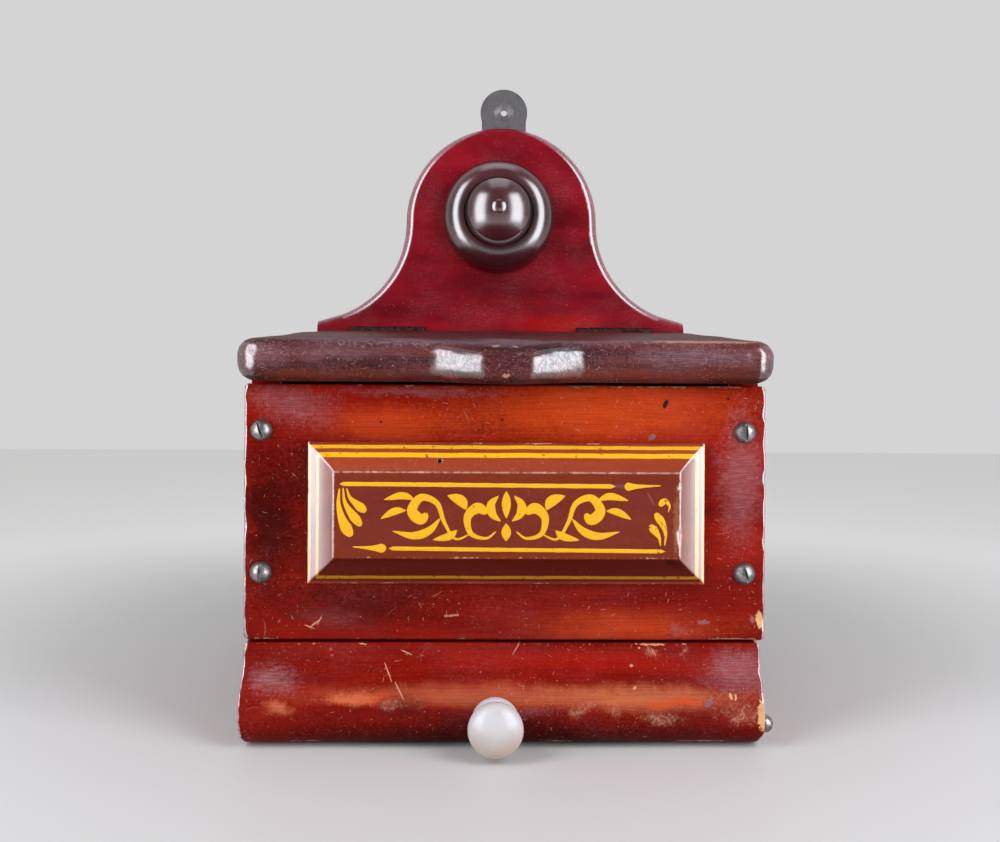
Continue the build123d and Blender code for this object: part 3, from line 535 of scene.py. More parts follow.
class Board:
    """One stained surface: its coordinates, the masks that its steps share, and the steps."""

    def __init__(self, name, order, look):
        wood = bpy.context.scene.salt_box_wood
        settings = {
            "deep": tuple(wood.deep_stain), "bright": tuple(wood.bright_stain),
            "haze": tuple(wood.dust), "roughness": wood.gloss,
        }
        self.look = look = {**LOOK, **settings, **look}
        self.tints = {**TINTS, "bare": tuple(wood.bare_wood), "haze": look["haze"]}
        self.tints["deep"] = tinted(look["deep"], 0.33)
        self.edge_wear = wood.edge_wear / MM
        self.material, w, self.shader, self.place = new_material(name)
        self.w = w
        self.flat = flat = turned(w, self.place, order) + (look["shift"], 0.0, 0.0)
        self.torn = w.noise(flat, scale=0.85, detail=4.0, roughness=0.68)
        self.grain = w.group(
            shared(grain_group), Vector=flat, Figure_length=look["figure"], Figure_height=look["band"]
        )
        self.dust = w.group(shared(dust_group), Vector=flat, Cloud=look["cloud"], Torn=self.torn)
        drift = w.noise(flat, scale=0.11, output="Color") - (0.5, 0.5, 0.5)
        self.loose = flat + drift * (14.0, 5.0, 5.0)
        self.scuffs = w.noise(self.loose * (1.1, 0.45, 0.45), detail=5.0, roughness=0.75)
        self.scuffed = w.step(self.scuffs, 0.46, 0.62) * 0.8 + 0.2
        self.fibrous = w.step(self.grain["Streak"], 0.32, 0.62) * 0.38 + 0.62
        aside, _, up = w.parts(w.own("Normal"))
        self.aside, self.level = abs(aside), abs(up) > 0.72

    def stain(self):
        """The figure and the streaks, between the deep and the bright stain."""
        figure = (self.grain["Figure"] - 0.5) * self.look["contrast"]
        streaks = (self.grain["Streak"] - 0.5) * self.look["streaks"]
        tone = self.w.math("ADD", figure + 0.5 + streaks, (self.torn - 0.5) * 0.6, clamp=True)
        return self.w.mix(tone, self.look["deep"], self.look["bright"])

    def mark(self, kind, u, v, long, high, turn, ragged, strength):
        """Mask of one placed mark."""
        broad = kind not in SHARP and high > BROAD
        place, soft = (self.loose, 0.9) if broad else (self.flat, 0.25)
        mask = self.w.group(
            shared(mark_group), Vector=place, Centre=(u + self.look["shift"], v, 0.0), Size=(long, high, 1.0),
            Turn=math.radians(turn), Torn=self.torn, Ragged=2.2 * ragged, Soft=soft,
        )["Mask"]
        # bloom marks, some of which paint the lamps' sheen, are broken by fibres
        if kind == "haze":
            mask = mask * (self.dust["Fibre"] * 0.55 + 0.45)
        elif kind == "tan" and broad:
            mask = mask * self.scuffed
        # the swell's painted highlight and the orange stains follow the fibres
        elif kind in ("amber", "orange"):
            mask = mask * self.fibrous
        return mask * strength

    def marks(self, colour):
        """The colour with all placed marks laid over it in their order, and how much the sharp ones sink."""
        sunk = 0.0
        for kind, *shape in self.look["marks"]:
            mask = self.mark(kind, *shape)
            colour = self.w.mix(mask, colour, self.tints[kind])
            if kind in SHARP:
                sunk = mask + sunk
        return colour, sunk

    def lines(self, plane, cell, length, width):
        """One size of scratches."""
        share = self.look["scratches"]
        return self.w.group(
            shared(scratch_group), Vector=plane, Cell=cell, Length=length, Width=width, Share=share
        )["Mask"]

    def scratches(self):
        """Mask of three sizes of scratches in patches, and of specks everywhere."""
        w, look, plane = self.w, self.look, self.flat
        if look["top"]:
            chosen = w.node("ShaderNodeMix", data_type="VECTOR")
            w.put(chosen.inputs[0], self.level)
            w.put(chosen.inputs[4], self.flat)
            w.put(chosen.inputs[5], turned(w, self.place, look["top"]))
            plane = w.read(chosen, 1)
        long_lines = self.lines(plane, 15.0, 8.0, 0.16) * 0.6
        short_lines = self.lines(plane + (31.0, 7.0, 0.0), 4.6, 2.8, 0.15)
        hairs = self.lines(plane + (5.0, 43.0, 0.0), look["hairs"], 1.9, 0.11) * 0.5
        patchy = w.step(w.noise(self.flat, scale=0.045), 0.40, 0.62) * 0.85 + 0.15
        specks = w.group(
            shared(nick_group), Vector=self.flat, Cell=2.4, Radius=0.19, Share=look["specks"], Torn=self.torn
        )["Mask"]
        return w.most(w.most(long_lines, short_lines, hairs) * patchy, specks * 0.6)

    def wear(self):
        """Mask of the places that are rubbed down to the wood."""
        if self.look["worn"]:
            return self.w.step(self.w.wear() + (self.torn - 0.5) * 1.6, 0.42, 0.62)
        if self.look["box"]:
            low, high = self.look["box"]
            return self.w.group(
                shared(arris_group), Vector=self.place, Low=low, High=high,
                Width=self.edge_wear, Torn=self.torn, Ragged=2.0,
            )["Mask"]
        return 0.0

    def coat(self):
        """Weight of the coat before wear: more on rounded ends, less on a level top."""
        w, coat = self.w, self.look["coat"]
        if self.look["rim"] is not None:
            coat = self.rim() * (self.look["rim"] - coat) + coat
        if self.look["top"]:
            coat = coat * (1.0 - self.level * 0.8)
        share = self.look["broken"]
        return (w.step(self.scuffs, 0.42, 0.62) * share + (1.0 - share)) * coat

    def rim(self):
        """Mask of the rounded ends, whose normals lean aside."""
        return self.w.step(self.aside, 0.1, 0.26) * self.w.step(self.aside, 0.96, 0.84)


def aged_wood(name, order, **look):
    """Stained, polished and worn wood.

    order gives the axes along the grain, across it on the face, and into the wood. look sets what LOOK lists,
    and deep, bright, haze and roughness where they differ from the settings.
    """
    board = Board(name, order, look)
    w, look, torn = board.w, board.look, board.torn
    colour, sunk = board.marks(board.stain())
    colour = w.mix(board.grain["Pores"] * 0.22, colour, tinted(look["deep"], 0.3))
    dust = board.dust["Mask"] * look["dust"]
    colour = w.mix(dust, colour, look["haze"])
    lines = board.scratches()
    colour = w.mix(lines * look["line_strength"], colour, look["lines"])
    worn = board.wear()
    pale = w.mix(w.step(torn, 0.50, 0.78), look["pale"], board.tints["bare"])
    colour = w.mix(worn * 0.92, colour, pale)
    # Painted highlight: rounded ends, whose normals lean aside, turn pale lilac where the lamps would shine
    # on them, broken by noise like rubbed polish.
    if look["rim_pale"]:
        rubbed = board.rim() * w.step(torn, 0.3, 0.6)
        colour = w.mix(rubbed * look["rim_pale"], colour, (0.46, 0.33, 0.38))

    dull = dust * 0.5 + lines * 0.3 + worn * 0.35
    smear = (w.noise(board.flat, scale=0.12, detail=4.0, roughness=0.7) - 0.5) * 0.35
    rough = w.math("ADD", dull + smear, look["roughness"], clamp=True)
    clear = w.math("SUBTRACT", 1.0, dull * 0.9, clamp=True)
    height = board.grain["Streak"] * 0.22 - board.grain["Pores"] * 0.2 - lines * 0.5 - sunk - worn * 0.5
    slow = bump(w, w.noise(board.flat * (0.05, 0.12, 0.12)), WAVE_RELIEF)
    w.fit(
        board.shader, Base_Color=colour, Roughness=rough, Normal=bump(w, height, STAIN_RELIEF, slow),
        Coat_Weight=clear * board.coat(), Coat_IOR=look["coat_ior"], Coat_Roughness=look["coat_roughness"],
        Specular_IOR_Level=0.02,
    )
    return board.material


def dress(names, material):
    """Gives CAD nodes or new pieces one material."""
    for name in names:
        piece = NODES.get(name) or bpy.data.objects[name]
        piece.data.materials.clear()
        piece.data.materials.append(material)


# ---------------------------------------------------------------- surfaces


def grid_faces(rows, columns, first=0):
    """Quads of a grid of rows x columns vertices, numbered row by row from first."""
    r, c = np.meshgrid(np.arange(rows - 1), np.arange(columns - 1), indexing="ij")
    corner = first + r * columns + c
    return np.stack([corner, corner + 1, corner + columns + 1, corner + columns], -1).reshape(-1, 4)


def join_skins(skins):
    """Stacks grids of points into one list of vertices and one of quads. A skin may bring its worn values."""
    vertices, faces, values, count = [], [], [], 0
    for skin, worn in skins:
        rows, columns = skin.shape[:2]
        vertices.append(skin.reshape(-1, 3))
        values.append(np.broadcast_to(worn, (rows, columns)).reshape(-1))
        faces.append(grid_faces(rows, columns, count))
        count += rows * columns
    return np.concatenate(vertices), np.concatenate(faces), np.concatenate(values)


def build_piece(name, skins, body, weld=1e-7):
    """Makes a mesh from millimetre grids, welds its seams and turns its faces outwards."""
    vertices, faces, values = join_skins(skins)
    mesh = bpy.data.meshes.new(name)
    mesh.from_pydata((vertices * MM).tolist(), [], faces.tolist())
    mesh.attributes.new("worn", "FLOAT", "POINT").data.foreach_set("value", values.astype(np.float32))
    work = bmesh.new()
    work.from_mesh(mesh)
    bmesh.ops.remove_doubles(work, verts=work.verts, dist=weld)
    bmesh.ops.dissolve_degenerate(work, edges=work.edges, dist=weld)
    bmesh.ops.recalc_face_normals(work, faces=work.faces)
    work.to_mesh(mesh)
    work.free()
    mesh.shade_smooth()
    piece = bpy.data.objects.new(name, mesh)
    bpy.context.scene.collection.objects.link(piece)
    if body:
        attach(piece, body)
    return piece


def bell(x, centre, width):
    """1 at the centre, falling to 1/e at a distance of width."""
    return np.exp(-(((x - centre) / width) ** 2))


def unit(x):
    """x held between 0 and 1."""
    return np.clip(x, 0, 1)


def normals(path):
    """The path's direction turned a quarter turn to the left, at each of its points."""
    tangent = np.gradient(path, axis=0)
    tangent /= np.linalg.norm(tangent, axis=1)[:, None]
    return np.stack([-tangent[:, 1], tangent[:, 0]], -1)


def waves(x, y, seed, length):
    """A slow smooth field, mostly between -1 and 1: a sum of eight sine waves of random turn and phase."""
    rng = np.random.default_rng(seed)
    total = np.zeros(np.broadcast(x, y).shape)
    for _ in range(8):
        turn, phase, stretch = rng.uniform(0, 2 * math.pi), rng.uniform(0, 2 * math.pi), rng.uniform(0.5, 1.6)
        total += np.sin(2 * math.pi * stretch * (x * math.cos(turn) + y * math.sin(turn)) / length + phase)
    return total / 4.0


def tangent_arc(start, tangent, end, count):
    """Points of the arc that leaves start along tangent and reaches end."""
    start, tangent, chord = np.asarray(start, float), np.asarray(tangent, float), np.subtract(end, start)
    normal = np.array([-tangent[1], tangent[0]])
    centre = start + normal * (chord @ chord) / (2 * (chord @ normal))
    sweep = 2 * math.atan2(tangent[0] * chord[1] - tangent[1] * chord[0], tangent @ chord)
    turn = np.linspace(0.0, sweep, count)
    x, y = start - centre
    return centre + np.stack([x * np.cos(turn) - y * np.sin(turn), x * np.sin(turn) + y * np.cos(turn)], -1)


def straight(start, end, step):
    """Points from start to end, about step apart and closer near both ends."""
    start, end = np.asarray(start, float), np.asarray(end, float)
    count = max(int(round(np.linalg.norm(end - start) / step)), 2) + 1
    t = np.linspace(0.0, 1.0, count)
    t = 0.5 * t + 0.5 * (0.5 - 0.5 * np.cos(math.pi * t))
    return start + (end - start) * t[:, None]


def chain(*runs):
    """One path from runs that share their end points."""
    return np.concatenate([runs[0]] + [run[1:] for run in runs[1:]])


GRID_STEP = 1.6  # spacing of the columns along a moulding
END_ROOM = 3.2  # length kept for its rounded ends
QUARTER_POINTS = 7  # rings in each of them
CHIP_WIDTH = 0.9  # how far a chip reaches beyond its arris
BARE_DEPTH = 0.40  # depth of a chip at which the wood is bare


def worn_moulding(name, body, profile, back_y, ends, arrises, seed, chips, dents, end_wear):
    """A board of one section, with eased and chipped edges.

    profile is (y, z) from the upper back corner round the front to the lower back corner. Each end is
    rounded: the section moves in by r(1 - sin a) at a distance r(1 - cos a) from the end, where r wavers
    along it. arrises are distances along the profile of its long edges: chips sink them by a clipped sum of
    waves of x, and the front sinks by slow waves and by the placed dents.
    """
    normal = -normals(profile)
    run = np.concatenate([[0.0], np.cumsum(np.linalg.norm(np.diff(profile, axis=0), axis=1))])
    corner = math.sqrt(0.5)
    normal[0], normal[-1] = (corner, corner), (corner, -corner)
    count = len(profile)
    rear = np.stack([np.full(count, back_y), np.linspace(profile[0, 1], profile[-1, 1], count)], -1)
    rear_normal = np.tile([1.0, 0.0], (count, 1))
    rear_normal[0], rear_normal[-1] = normal[0], normal[-1]
    inner = np.minimum(run, run[-1] - run)

    def end_radius(end_seed):
        radius = 1.0 + 0.45 * waves(run, run, end_seed, 14.0) + 0.2 * waves(run, run, end_seed + 7, 4.0)
        for place in arrises:
            radius = radius + 0.9 * bell(run, place, 2.5)
        return 0.5 + (np.clip(radius, 0.45, 2.4) - 0.5) * unit(inner / 4.0)

    left, right = ends
    radius_left, radius_right = end_radius(seed), end_radius(seed + 1)
    quarter = np.linspace(0.0, math.pi / 2, QUARTER_POINTS)
    middle = np.linspace(left + END_ROOM, right - END_ROOM, int((right - left) / GRID_STEP))
    x = np.concatenate([
        left + radius_left * (1 - np.cos(quarter[:, None])),
        np.repeat(middle[:, None], count, axis=1),
        right - radius_right * (1 - np.cos(quarter[::-1, None])),
    ])
    inset = np.concatenate([
        radius_left * (1 - np.sin(quarter[:, None])),
        np.zeros((len(middle), count)),
        radius_right * (1 - np.sin(quarter[::-1, None])),
    ])
    fade = unit(np.minimum(x - left, right - x) / 5.0)
    height = np.broadcast_to(profile[:, 1], x.shape)
    eaten = np.zeros_like(x)
    for number, place in enumerate(arrises):
        bite = 0.55 * waves(x, 0.0, seed + 20 + number, 11.0)
        bite += 0.45 * waves(x, 0.0, seed + 40 + number, 3.1)
        bite = 0.08 + 0.55 * np.clip(bite - 0.35, 0, 1.2)
        for chip_arris, chip_x, half, deep in chips:
            if chip_arris == number:
                torn = 0.75 + 0.45 * waves(x, 0.0, seed + 60, 2.6)
                bite += deep * torn * np.exp(-(((x - chip_x) / half) ** 4))
        eaten += bite * bell(run[None, :], place, CHIP_WIDTH) * fade
    facing = unit(inner / 6.0)
    sink = 0.05 * (1.2 + waves(x, height, seed + 2, 40.0)).clip(0, 2.5) * fade * facing
    for dent_x, dent_z, size, deep in dents:
        sink += deep * np.exp(-(((x - dent_x) ** 2 + (height - dent_z) ** 2) / size**2)) * facing
    total = inset + eaten + sink
    front = np.stack([x, profile[:, 0] - normal[:, 0] * total, profile[:, 1] - normal[:, 1] * total], -1)
    back = np.stack([x, rear[:, 0] - rear_normal[:, 0] * inset, rear[:, 1] - rear_normal[:, 1] * inset], -1)
    back[:, 0], back[:, -1] = front[:, 0], front[:, -1]
    worn = unit(eaten / BARE_DEPTH)
    rounding = np.where(x < (left + right) / 2, radius_left[None, :], radius_right[None, :])
    near_end = unit(1.0 - (np.minimum(x - left, right - x) - 0.6) / 1.8)
    worn = np.maximum(worn, end_wear * near_end * unit(rounding - 0.7))
    cap_left = np.stack([front[0], back[0]])
    cap_right = np.stack([front[-1], back[-1]])
    return build_piece(name, ((front, worn), (back, 0.0), (cap_left, 0.0), (cap_right, 0.0)), body, weld=1e-6)


def front_board_profile():
    """Section of the front board: a rectangle with its two front arrises eased."""
    back_y, top, foot, ease = FRONT_HIGH[1], FRONT_HIGH[2], FRONT_LOW[2], 0.9
    upper = tangent_arc((FRONT_Y + ease, top), (-1.0, 0.0), (FRONT_Y, top - ease), 7)
    lower = tangent_arc((FRONT_Y, foot + ease), (0.0, -1.0), (FRONT_Y + ease, foot), 7)
    path = chain(
        straight((back_y, top), upper[0], 1.0), upper, straight(upper[-1], lower[0], 1.7), lower,
        straight(lower[-1], (back_y, foot), 1.0),
    )
    first = back_y - FRONT_Y - ease
    return path, (first + 0.7, first + 1.4 + (top - foot - 2 * ease) + 0.7)


def drawer_front_profile():
    """Section of the drawer front: a flat, a hollow that swells to a crest, and a round lower edge."""
    back_y, top, foot, ease = DRAWER_HIGH[1], DRAWER_HIGH[2], DRAWER_LOW[2], 0.9
    swell_y, crest, hollow, share = DRAWER_LOW[1], DRAWER_LOW[2] + 12.9, DRAWER_HIGH[2] - 4.0, 0.63
    turn = (FRONT_Y + share * (swell_y - FRONT_Y), hollow - share * (hollow - crest))
    upper = tangent_arc((FRONT_Y + ease, top), (-1.0, 0.0), (FRONT_Y, top - ease), 7)
    path = chain(
        straight((back_y, top), upper[0], 1.0), upper, straight(upper[-1], (FRONT_Y, hollow), 1.0),
        tangent_arc((FRONT_Y, hollow), (0.0, -1.0), turn, 14),
        tangent_arc((swell_y, crest), (0.0, 1.0), turn, 12)[::-1],
        straight((swell_y, crest), (swell_y, crest - 2.9), 0.9),
        tangent_arc((swell_y, crest - 2.9), (0.0, -1.0), (FRONT_Y, foot), 16),
        straight((FRONT_Y, foot), (back_y, foot), 1.0),
    )
    first = back_y - FRONT_Y - ease
    length = np.linalg.norm(np.diff(path, axis=0), axis=1).sum()
    return path, (first + 0.7, length - (back_y - FRONT_Y) - 2.0)


SIDE_POINTS = 60  # points along each side of the lid


def lid_outline():
    """Outline of the lid in its own plane, from the back of the left side round the lip to the right side.

    Each segment is a line or an arc: the front is straight, and each flank of the lip is a straight run
    between a concave and a convex arc of one radius. Returns points and outward normals.
    """
    half = (LID_HIGH[0] - LID_LOW[0]) / 2
    nose, corner, lip, flat, reach = LID_NOSE, 9.0, LID_LIP, 6.0, 28.0
    rise, lean = nose - lip, math.tan(LID_FLANK / 2)
    length = (rise - (reach - flat) * lean) / (math.sin(LID_FLANK) - math.cos(LID_FLANK) * lean)
    radius = (reach - flat - length * math.cos(LID_FLANK)) / (2 * math.sin(LID_FLANK))
    side = np.stack([np.full(SIDE_POINTS, -half), np.linspace(134.6, nose + corner, SIDE_POINTS)], -1)
    side_normal = np.tile([-1.0, 0.0], (SIDE_POINTS, 1))
    angle = np.linspace(math.pi, 1.5 * math.pi, 14)[1:]
    bend_normal = np.stack([np.cos(angle), np.sin(angle)], -1)
    bend = np.array([-half + corner, nose + corner]) + corner * bend_normal
    x = np.linspace(-half + corner, -reach, 60)[1:]
    front = np.stack([x, np.full(59, nose)], -1)
    front_normal = np.tile([0.0, -1.0], (59, 1))
    angle = np.linspace(0.0, LID_FLANK, 9)[1:]
    hollow_normal = np.stack([-np.sin(angle), -np.cos(angle)], -1)
    hollow = np.array([-reach, nose - radius]) - radius * hollow_normal
    angle = np.linspace(LID_FLANK, 0.0, 9)
    swell_normal = np.stack([-np.sin(angle), -np.cos(angle)], -1)
    swell = np.array([-flat, lip + radius]) + radius * swell_normal
    flank = hollow[-1] + (swell[0] - hollow[-1]) * np.linspace(0.0, 1.0, 12)[1:-1, None]
    flank_normal = np.tile(swell_normal[:1], (10, 1))
    x = np.linspace(-flat, 0.0, 7)[1:]
    tip = np.stack([x, np.full(6, lip)], -1)
    tip_normal = np.tile([0.0, -1.0], (6, 1))
    points = (side, bend, front, hollow, flank, swell, tip)
    outward = (side_normal, bend_normal, front_normal, hollow_normal, flank_normal, swell_normal, tip_normal)
    mirror = np.array([-1.0, 1.0])
    halves = np.concatenate(points), np.concatenate(outward)
    return tuple(np.concatenate([half, half[-2::-1] * mirror]) for half in halves)


def lid_place(x, along, height):
    """From the lid's own plane (across, up the slope, off the plane) to the row frame, in millimetres."""
    y = FRONT_Y + along * math.cos(LID_SLOPE) - height * math.sin(LID_SLOPE)
    z = LID_FOOT_Z + along * math.sin(LID_SLOPE) + height * math.cos(LID_SLOPE)
    return np.stack([x, y, z], -1)


LID_DENTS = (  # x, turn round the rim, radius, depth
    (-5.0, -0.9, 3.0, 0.5), (2.0, -0.7, 2.4, 0.6), (6.0, 0.5, 3.5, 0.35), (-60.0, 0.3, 2.2, 0.35),
    (-71.0, -0.1, 1.8, 0.3), (48.0, 0.6, 2.8, 0.3), (70.0, -0.4, 2.4, 0.35), (86.0, 0.2, 2.6, 0.5),
    (-30.0, 0.8, 3.0, 0.25), (33.0, -0.8, 2.2, 0.3), (-88.0, 0.5, 2.0, 0.35), (60.0, 0.9, 1.6, 0.3),
    (-14.0, 0.6, 2.6, 0.25), (18.0, 0.3, 2.8, 0.3), (-22.0, 0.2, 2.0, 0.25), (26.0, 0.9, 2.0, 0.25),
)


LIP_WIDTH, LIP_REACH = 23.0, 17.0  # w and l of the worn lip
BACK_FADE = 12.0  # unevenness and dents fade out over this distance from the back


def worn_lid(settings):
    """The lid as one closed skin.

    The rim is the outline moved in by r(1 - cos a) and lifted by r sin a, for a quarter turn below and one
    above. The top and the bottom are straight columns from the rim's inner end to the upright cut at the
    back. Height is scaled by 1 - k exp(-(x/w)^2) exp(-(d/l)^2) at the lip, where d is the distance behind
    its nose, and slow waves and a few dents are added to the top and the rim.
    """
    thick, radius = settings.thickness / MM, settings.bullnose / MM
    outline, outward = lid_outline()
    quarter = np.linspace(math.pi / 2, 0.0, 13)
    turn = np.concatenate([-quarter, quarter[::-1]])
    inset = radius * (1 - np.cos(turn))
    height = np.where(turn > 0, thick - radius + radius * np.sin(turn), radius + radius * np.sin(turn))
    height[len(quarter)] = thick - radius

    def back_cut(level):
        return (LID_BACK_Y - FRONT_Y + level * math.sin(LID_SLOPE)) / math.cos(LID_SLOPE)

    ring = outline[:, None, :] - outward[:, None, :] * inset[None, :, None]
    x, along = ring[..., 0].copy(), ring[..., 1].copy()
    level = np.broadcast_to(height, x.shape).copy()
    start = outline[SIDE_POINTS - 1, 1]
    share = (outline[:SIDE_POINTS, 1] - start) / (outline[0, 1] - start)
    along[:SIDE_POINTS] = start + share[:, None] * (back_cut(height)[None, :] - start)
    along[-SIDE_POINTS:] = along[:SIDE_POINTS][::-1]

    top_columns = slice(SIDE_POINTS - 1, len(outline) - SIDE_POINTS + 1)
    k = np.linspace(0.0, 1.0, SIDE_POINTS)

    def sheet(profile_end, level_value):
        x_row = ring[top_columns, profile_end, 0]
        start_row = along[top_columns, profile_end]
        sheet_x = np.tile(x_row, (SIDE_POINTS, 1))
        sheet_along = start_row[None, :] + k[:, None] * (back_cut(level_value) - start_row[None, :])
        return sheet_x, sheet_along, np.full_like(sheet_x, level_value)

    bottom = sheet(0, 0.0)
    top = sheet(-1, thick)

    def worn(px, pa, ph):
        cut = settings.lip_wear / MM / thick
        near = bell(px, 0.0, LIP_WIDTH) * bell(np.clip(pa - LID_LIP, 0, None), 0.0, LIP_REACH)
        ph = ph * (1 - cut * near)
        from_back = unit((back_cut(0.0) - pa) / BACK_FADE)
        lift = settings.unevenness / MM * waves(px, pa, 11, 75.0) * from_back * (ph / thick)
        ph = ph + np.where(ph > 0.45 * thick, lift, 0.0)
        return px, pa, ph

    def dented(px, pa, ph, index_turn, normal):
        depth = np.zeros_like(px)
        for dent_x, dent_turn, size, deep in LID_DENTS:
            reach = ((px - dent_x) / size) ** 2 + ((index_turn - dent_turn) * radius / size) ** 2
            depth += deep * np.exp(-reach) * (normal[..., 1] < -0.3)
        bruised = waves(px, pa + 9.0 * index_turn, 5, 16.0) + 0.6 * waves(px, pa + 9.0 * index_turn, 6, 6.0)
        depth += 0.13 * (1 + bruised).clip(0, 3) * (np.abs(index_turn) < 1.5)
        shrink = np.cos(index_turn)
        sunk = (px - normal[..., 0] * depth * shrink, pa - normal[..., 1] * depth * shrink)
        return *sunk, ph - np.sin(index_turn) * depth

    ring_turn = np.broadcast_to(turn, x.shape)
    ring_normal = np.broadcast_to(outward[:, None, :], ring.shape)
    rim_x, rim_a, rim_h = worn(x, along, level)
    dent_x, dent_a, dent_h = dented(rim_x, rim_a, rim_h, ring_turn, ring_normal)
    edge = unit((back_cut(0.0) - along) / BACK_FADE) * np.cos(ring_turn) ** 0.5
    rim = lid_place(
        rim_x + (dent_x - rim_x) * edge, rim_a + (dent_a - rim_a) * edge, rim_h + (dent_h - rim_h) * edge
    )
    top_skin = lid_place(*worn(*top))
    bottom_skin = lid_place(*bottom)
    front_rub = bell(ring_turn, 1.25, 0.30) * (0.20 + 0.16 * waves(x, along, 31, 22.0))
    front_rub += bell(ring_turn, 1.1, 0.25) * unit((x - 40.0) / 30.0) * 0.18
    front_rub += bell(ring_turn, -0.2, 0.9) * (x > 90.0) * 0.16

    pairs = len(quarter)
    left = [(rim[0, pairs - 1 - i], rim[0, pairs + i]) for i in range(pairs)]
    right = [(rim[-1, i], rim[-1, -1 - i]) for i in range(pairs)]
    middle = [(bottom_skin[-1, j], top_skin[-1, j]) for j in range(top_skin.shape[1])]
    cap = np.array([pair for pair in left + middle + right])
    cap[..., 1] = LID_BACK_Y
    skins = ((rim, unit(front_rub)), (top_skin, 0.0), (bottom_skin, 0.0), (cap, 0.0))
    return build_piece("worn_lid", skins, "lid", weld=2e-6)


LEAF_HALF, BARREL_HALF, BARREL_RADIUS = 19.0, 19.5, 2.75


def hinge_cutter(name, x):
    """A block and a barrel: the room that one hinge takes in the lid's back edge."""
    y, z = HINGE_AXIS
    low, high = (x - LEAF_HALF, LID_BACK_Y - 0.6, z - 11.0), (x + LEAF_HALF, LID_BACK_Y + 4.0, z + 6.0)
    block = box_mesh(name, low, high)
    angle = np.linspace(0, 2 * math.pi, 41)
    ring = np.stack([np.zeros(41), y + BARREL_RADIUS * np.cos(angle), z + BARREL_RADIUS * np.sin(angle)], -1)
    ends = [ring + np.array([end, 0, 0]) for end in (x - BARREL_HALF, x + BARREL_HALF)]
    caps = [np.tile(np.array([[end, y, z]]), (41, 1)) for end in (x - BARREL_HALF, x + BARREL_HALF)]
    skin = np.stack([caps[0], ends[0], ends[1], caps[1]])
    barrel = build_piece(name + "_barrel", ((skin, 0.0),), "lid")
    return block, barrel


def box_mesh(name, low, high):
    """A closed box between two corners: a strip round four sides and two lids."""
    x, y, z = zip(low, high)
    ring = [(x[0], y[0]), (x[1], y[0]), (x[1], y[1]), (x[0], y[1]), (x[0], y[0])]
    strip = np.array([[(a, b, level) for a, b in ring] for level in z])
    ends = [np.array([[(a, b, level) for a in x] for b in y]) for level in z]
    return build_piece(name, ((strip, 0.0), (ends[0], 0.0), (ends[1], 0.0)), "lid")


def pin_hole_cutter():
    """A closed cylinder across the plaque where a pin has dropped out."""
    x, z, radius = PIN_HOLE
    angle = np.linspace(0, 2 * math.pi, 21)
    levels = np.array([PLAQUE_FACE_Y - 1.0, PLAQUE_FACE_Y - 1.0, PLAQUE_BACK_Y - 0.4, PLAQUE_BACK_Y - 0.4])
    reach = radius * np.array([0.0, 1.0, 1.0, 0.0])
    across, up = x + reach[:, None] * np.cos(angle), z + reach[:, None] * np.sin(angle)
    ring = np.stack([across, np.tile(levels[:, None], (1, 21)), up], -1)
    return build_piece("pin_hole", ((ring, 0.0),), "case")


def cut_away(piece, cutters):
    """Takes cutters out of a piece and removes them."""
    for cutter in cutters:
        step = piece.modifiers.new("Cut", "BOOLEAN")
        step.operation = "DIFFERENCE"
        step.solver = "EXACT"
        step.object = cutter
    graph = bpy.context.evaluated_depsgraph_get()
    mesh = bpy.data.meshes.new_from_object(piece.evaluated_get(graph))
    piece.modifiers.clear()
    piece.data = mesh
    for cutter in cutters:
        bpy.data.objects.remove(cutter)


def plaque_section():
    """Section of the plaque, in from the outer edge and up from the board: edge, cove, arris, field."""
    edge, rise, border, arris, middle = 3.0, PLAQUE_BACK_Y - PLAQUE_FACE_Y, 10.0, 0.6, 25.0
    leave = (math.cos(COVE_START), math.sin(COVE_START))
    cove = tangent_arc((0.5, edge), leave, (border - 0.25, rise - 0.25), 18)
    return chain(
        straight((middle, 0.0), (0.4, 0.0), 3.0),
        tangent_arc((0.4, 0.0), (-1.0, 0.0), (0.0, 0.4), 3),
        straight((0.0, 0.4), (0.0, edge - 0.5), 0.7),
        tangent_arc((0.0, edge - 0.5), (0.0, 1.0), (0.5, edge), 5),
        cove,
        tangent_arc(cove[-1], (0.7, 0.7), (border + arris, rise), 6),
        straight((border + arris, rise), (middle, rise), 1.6),
    )


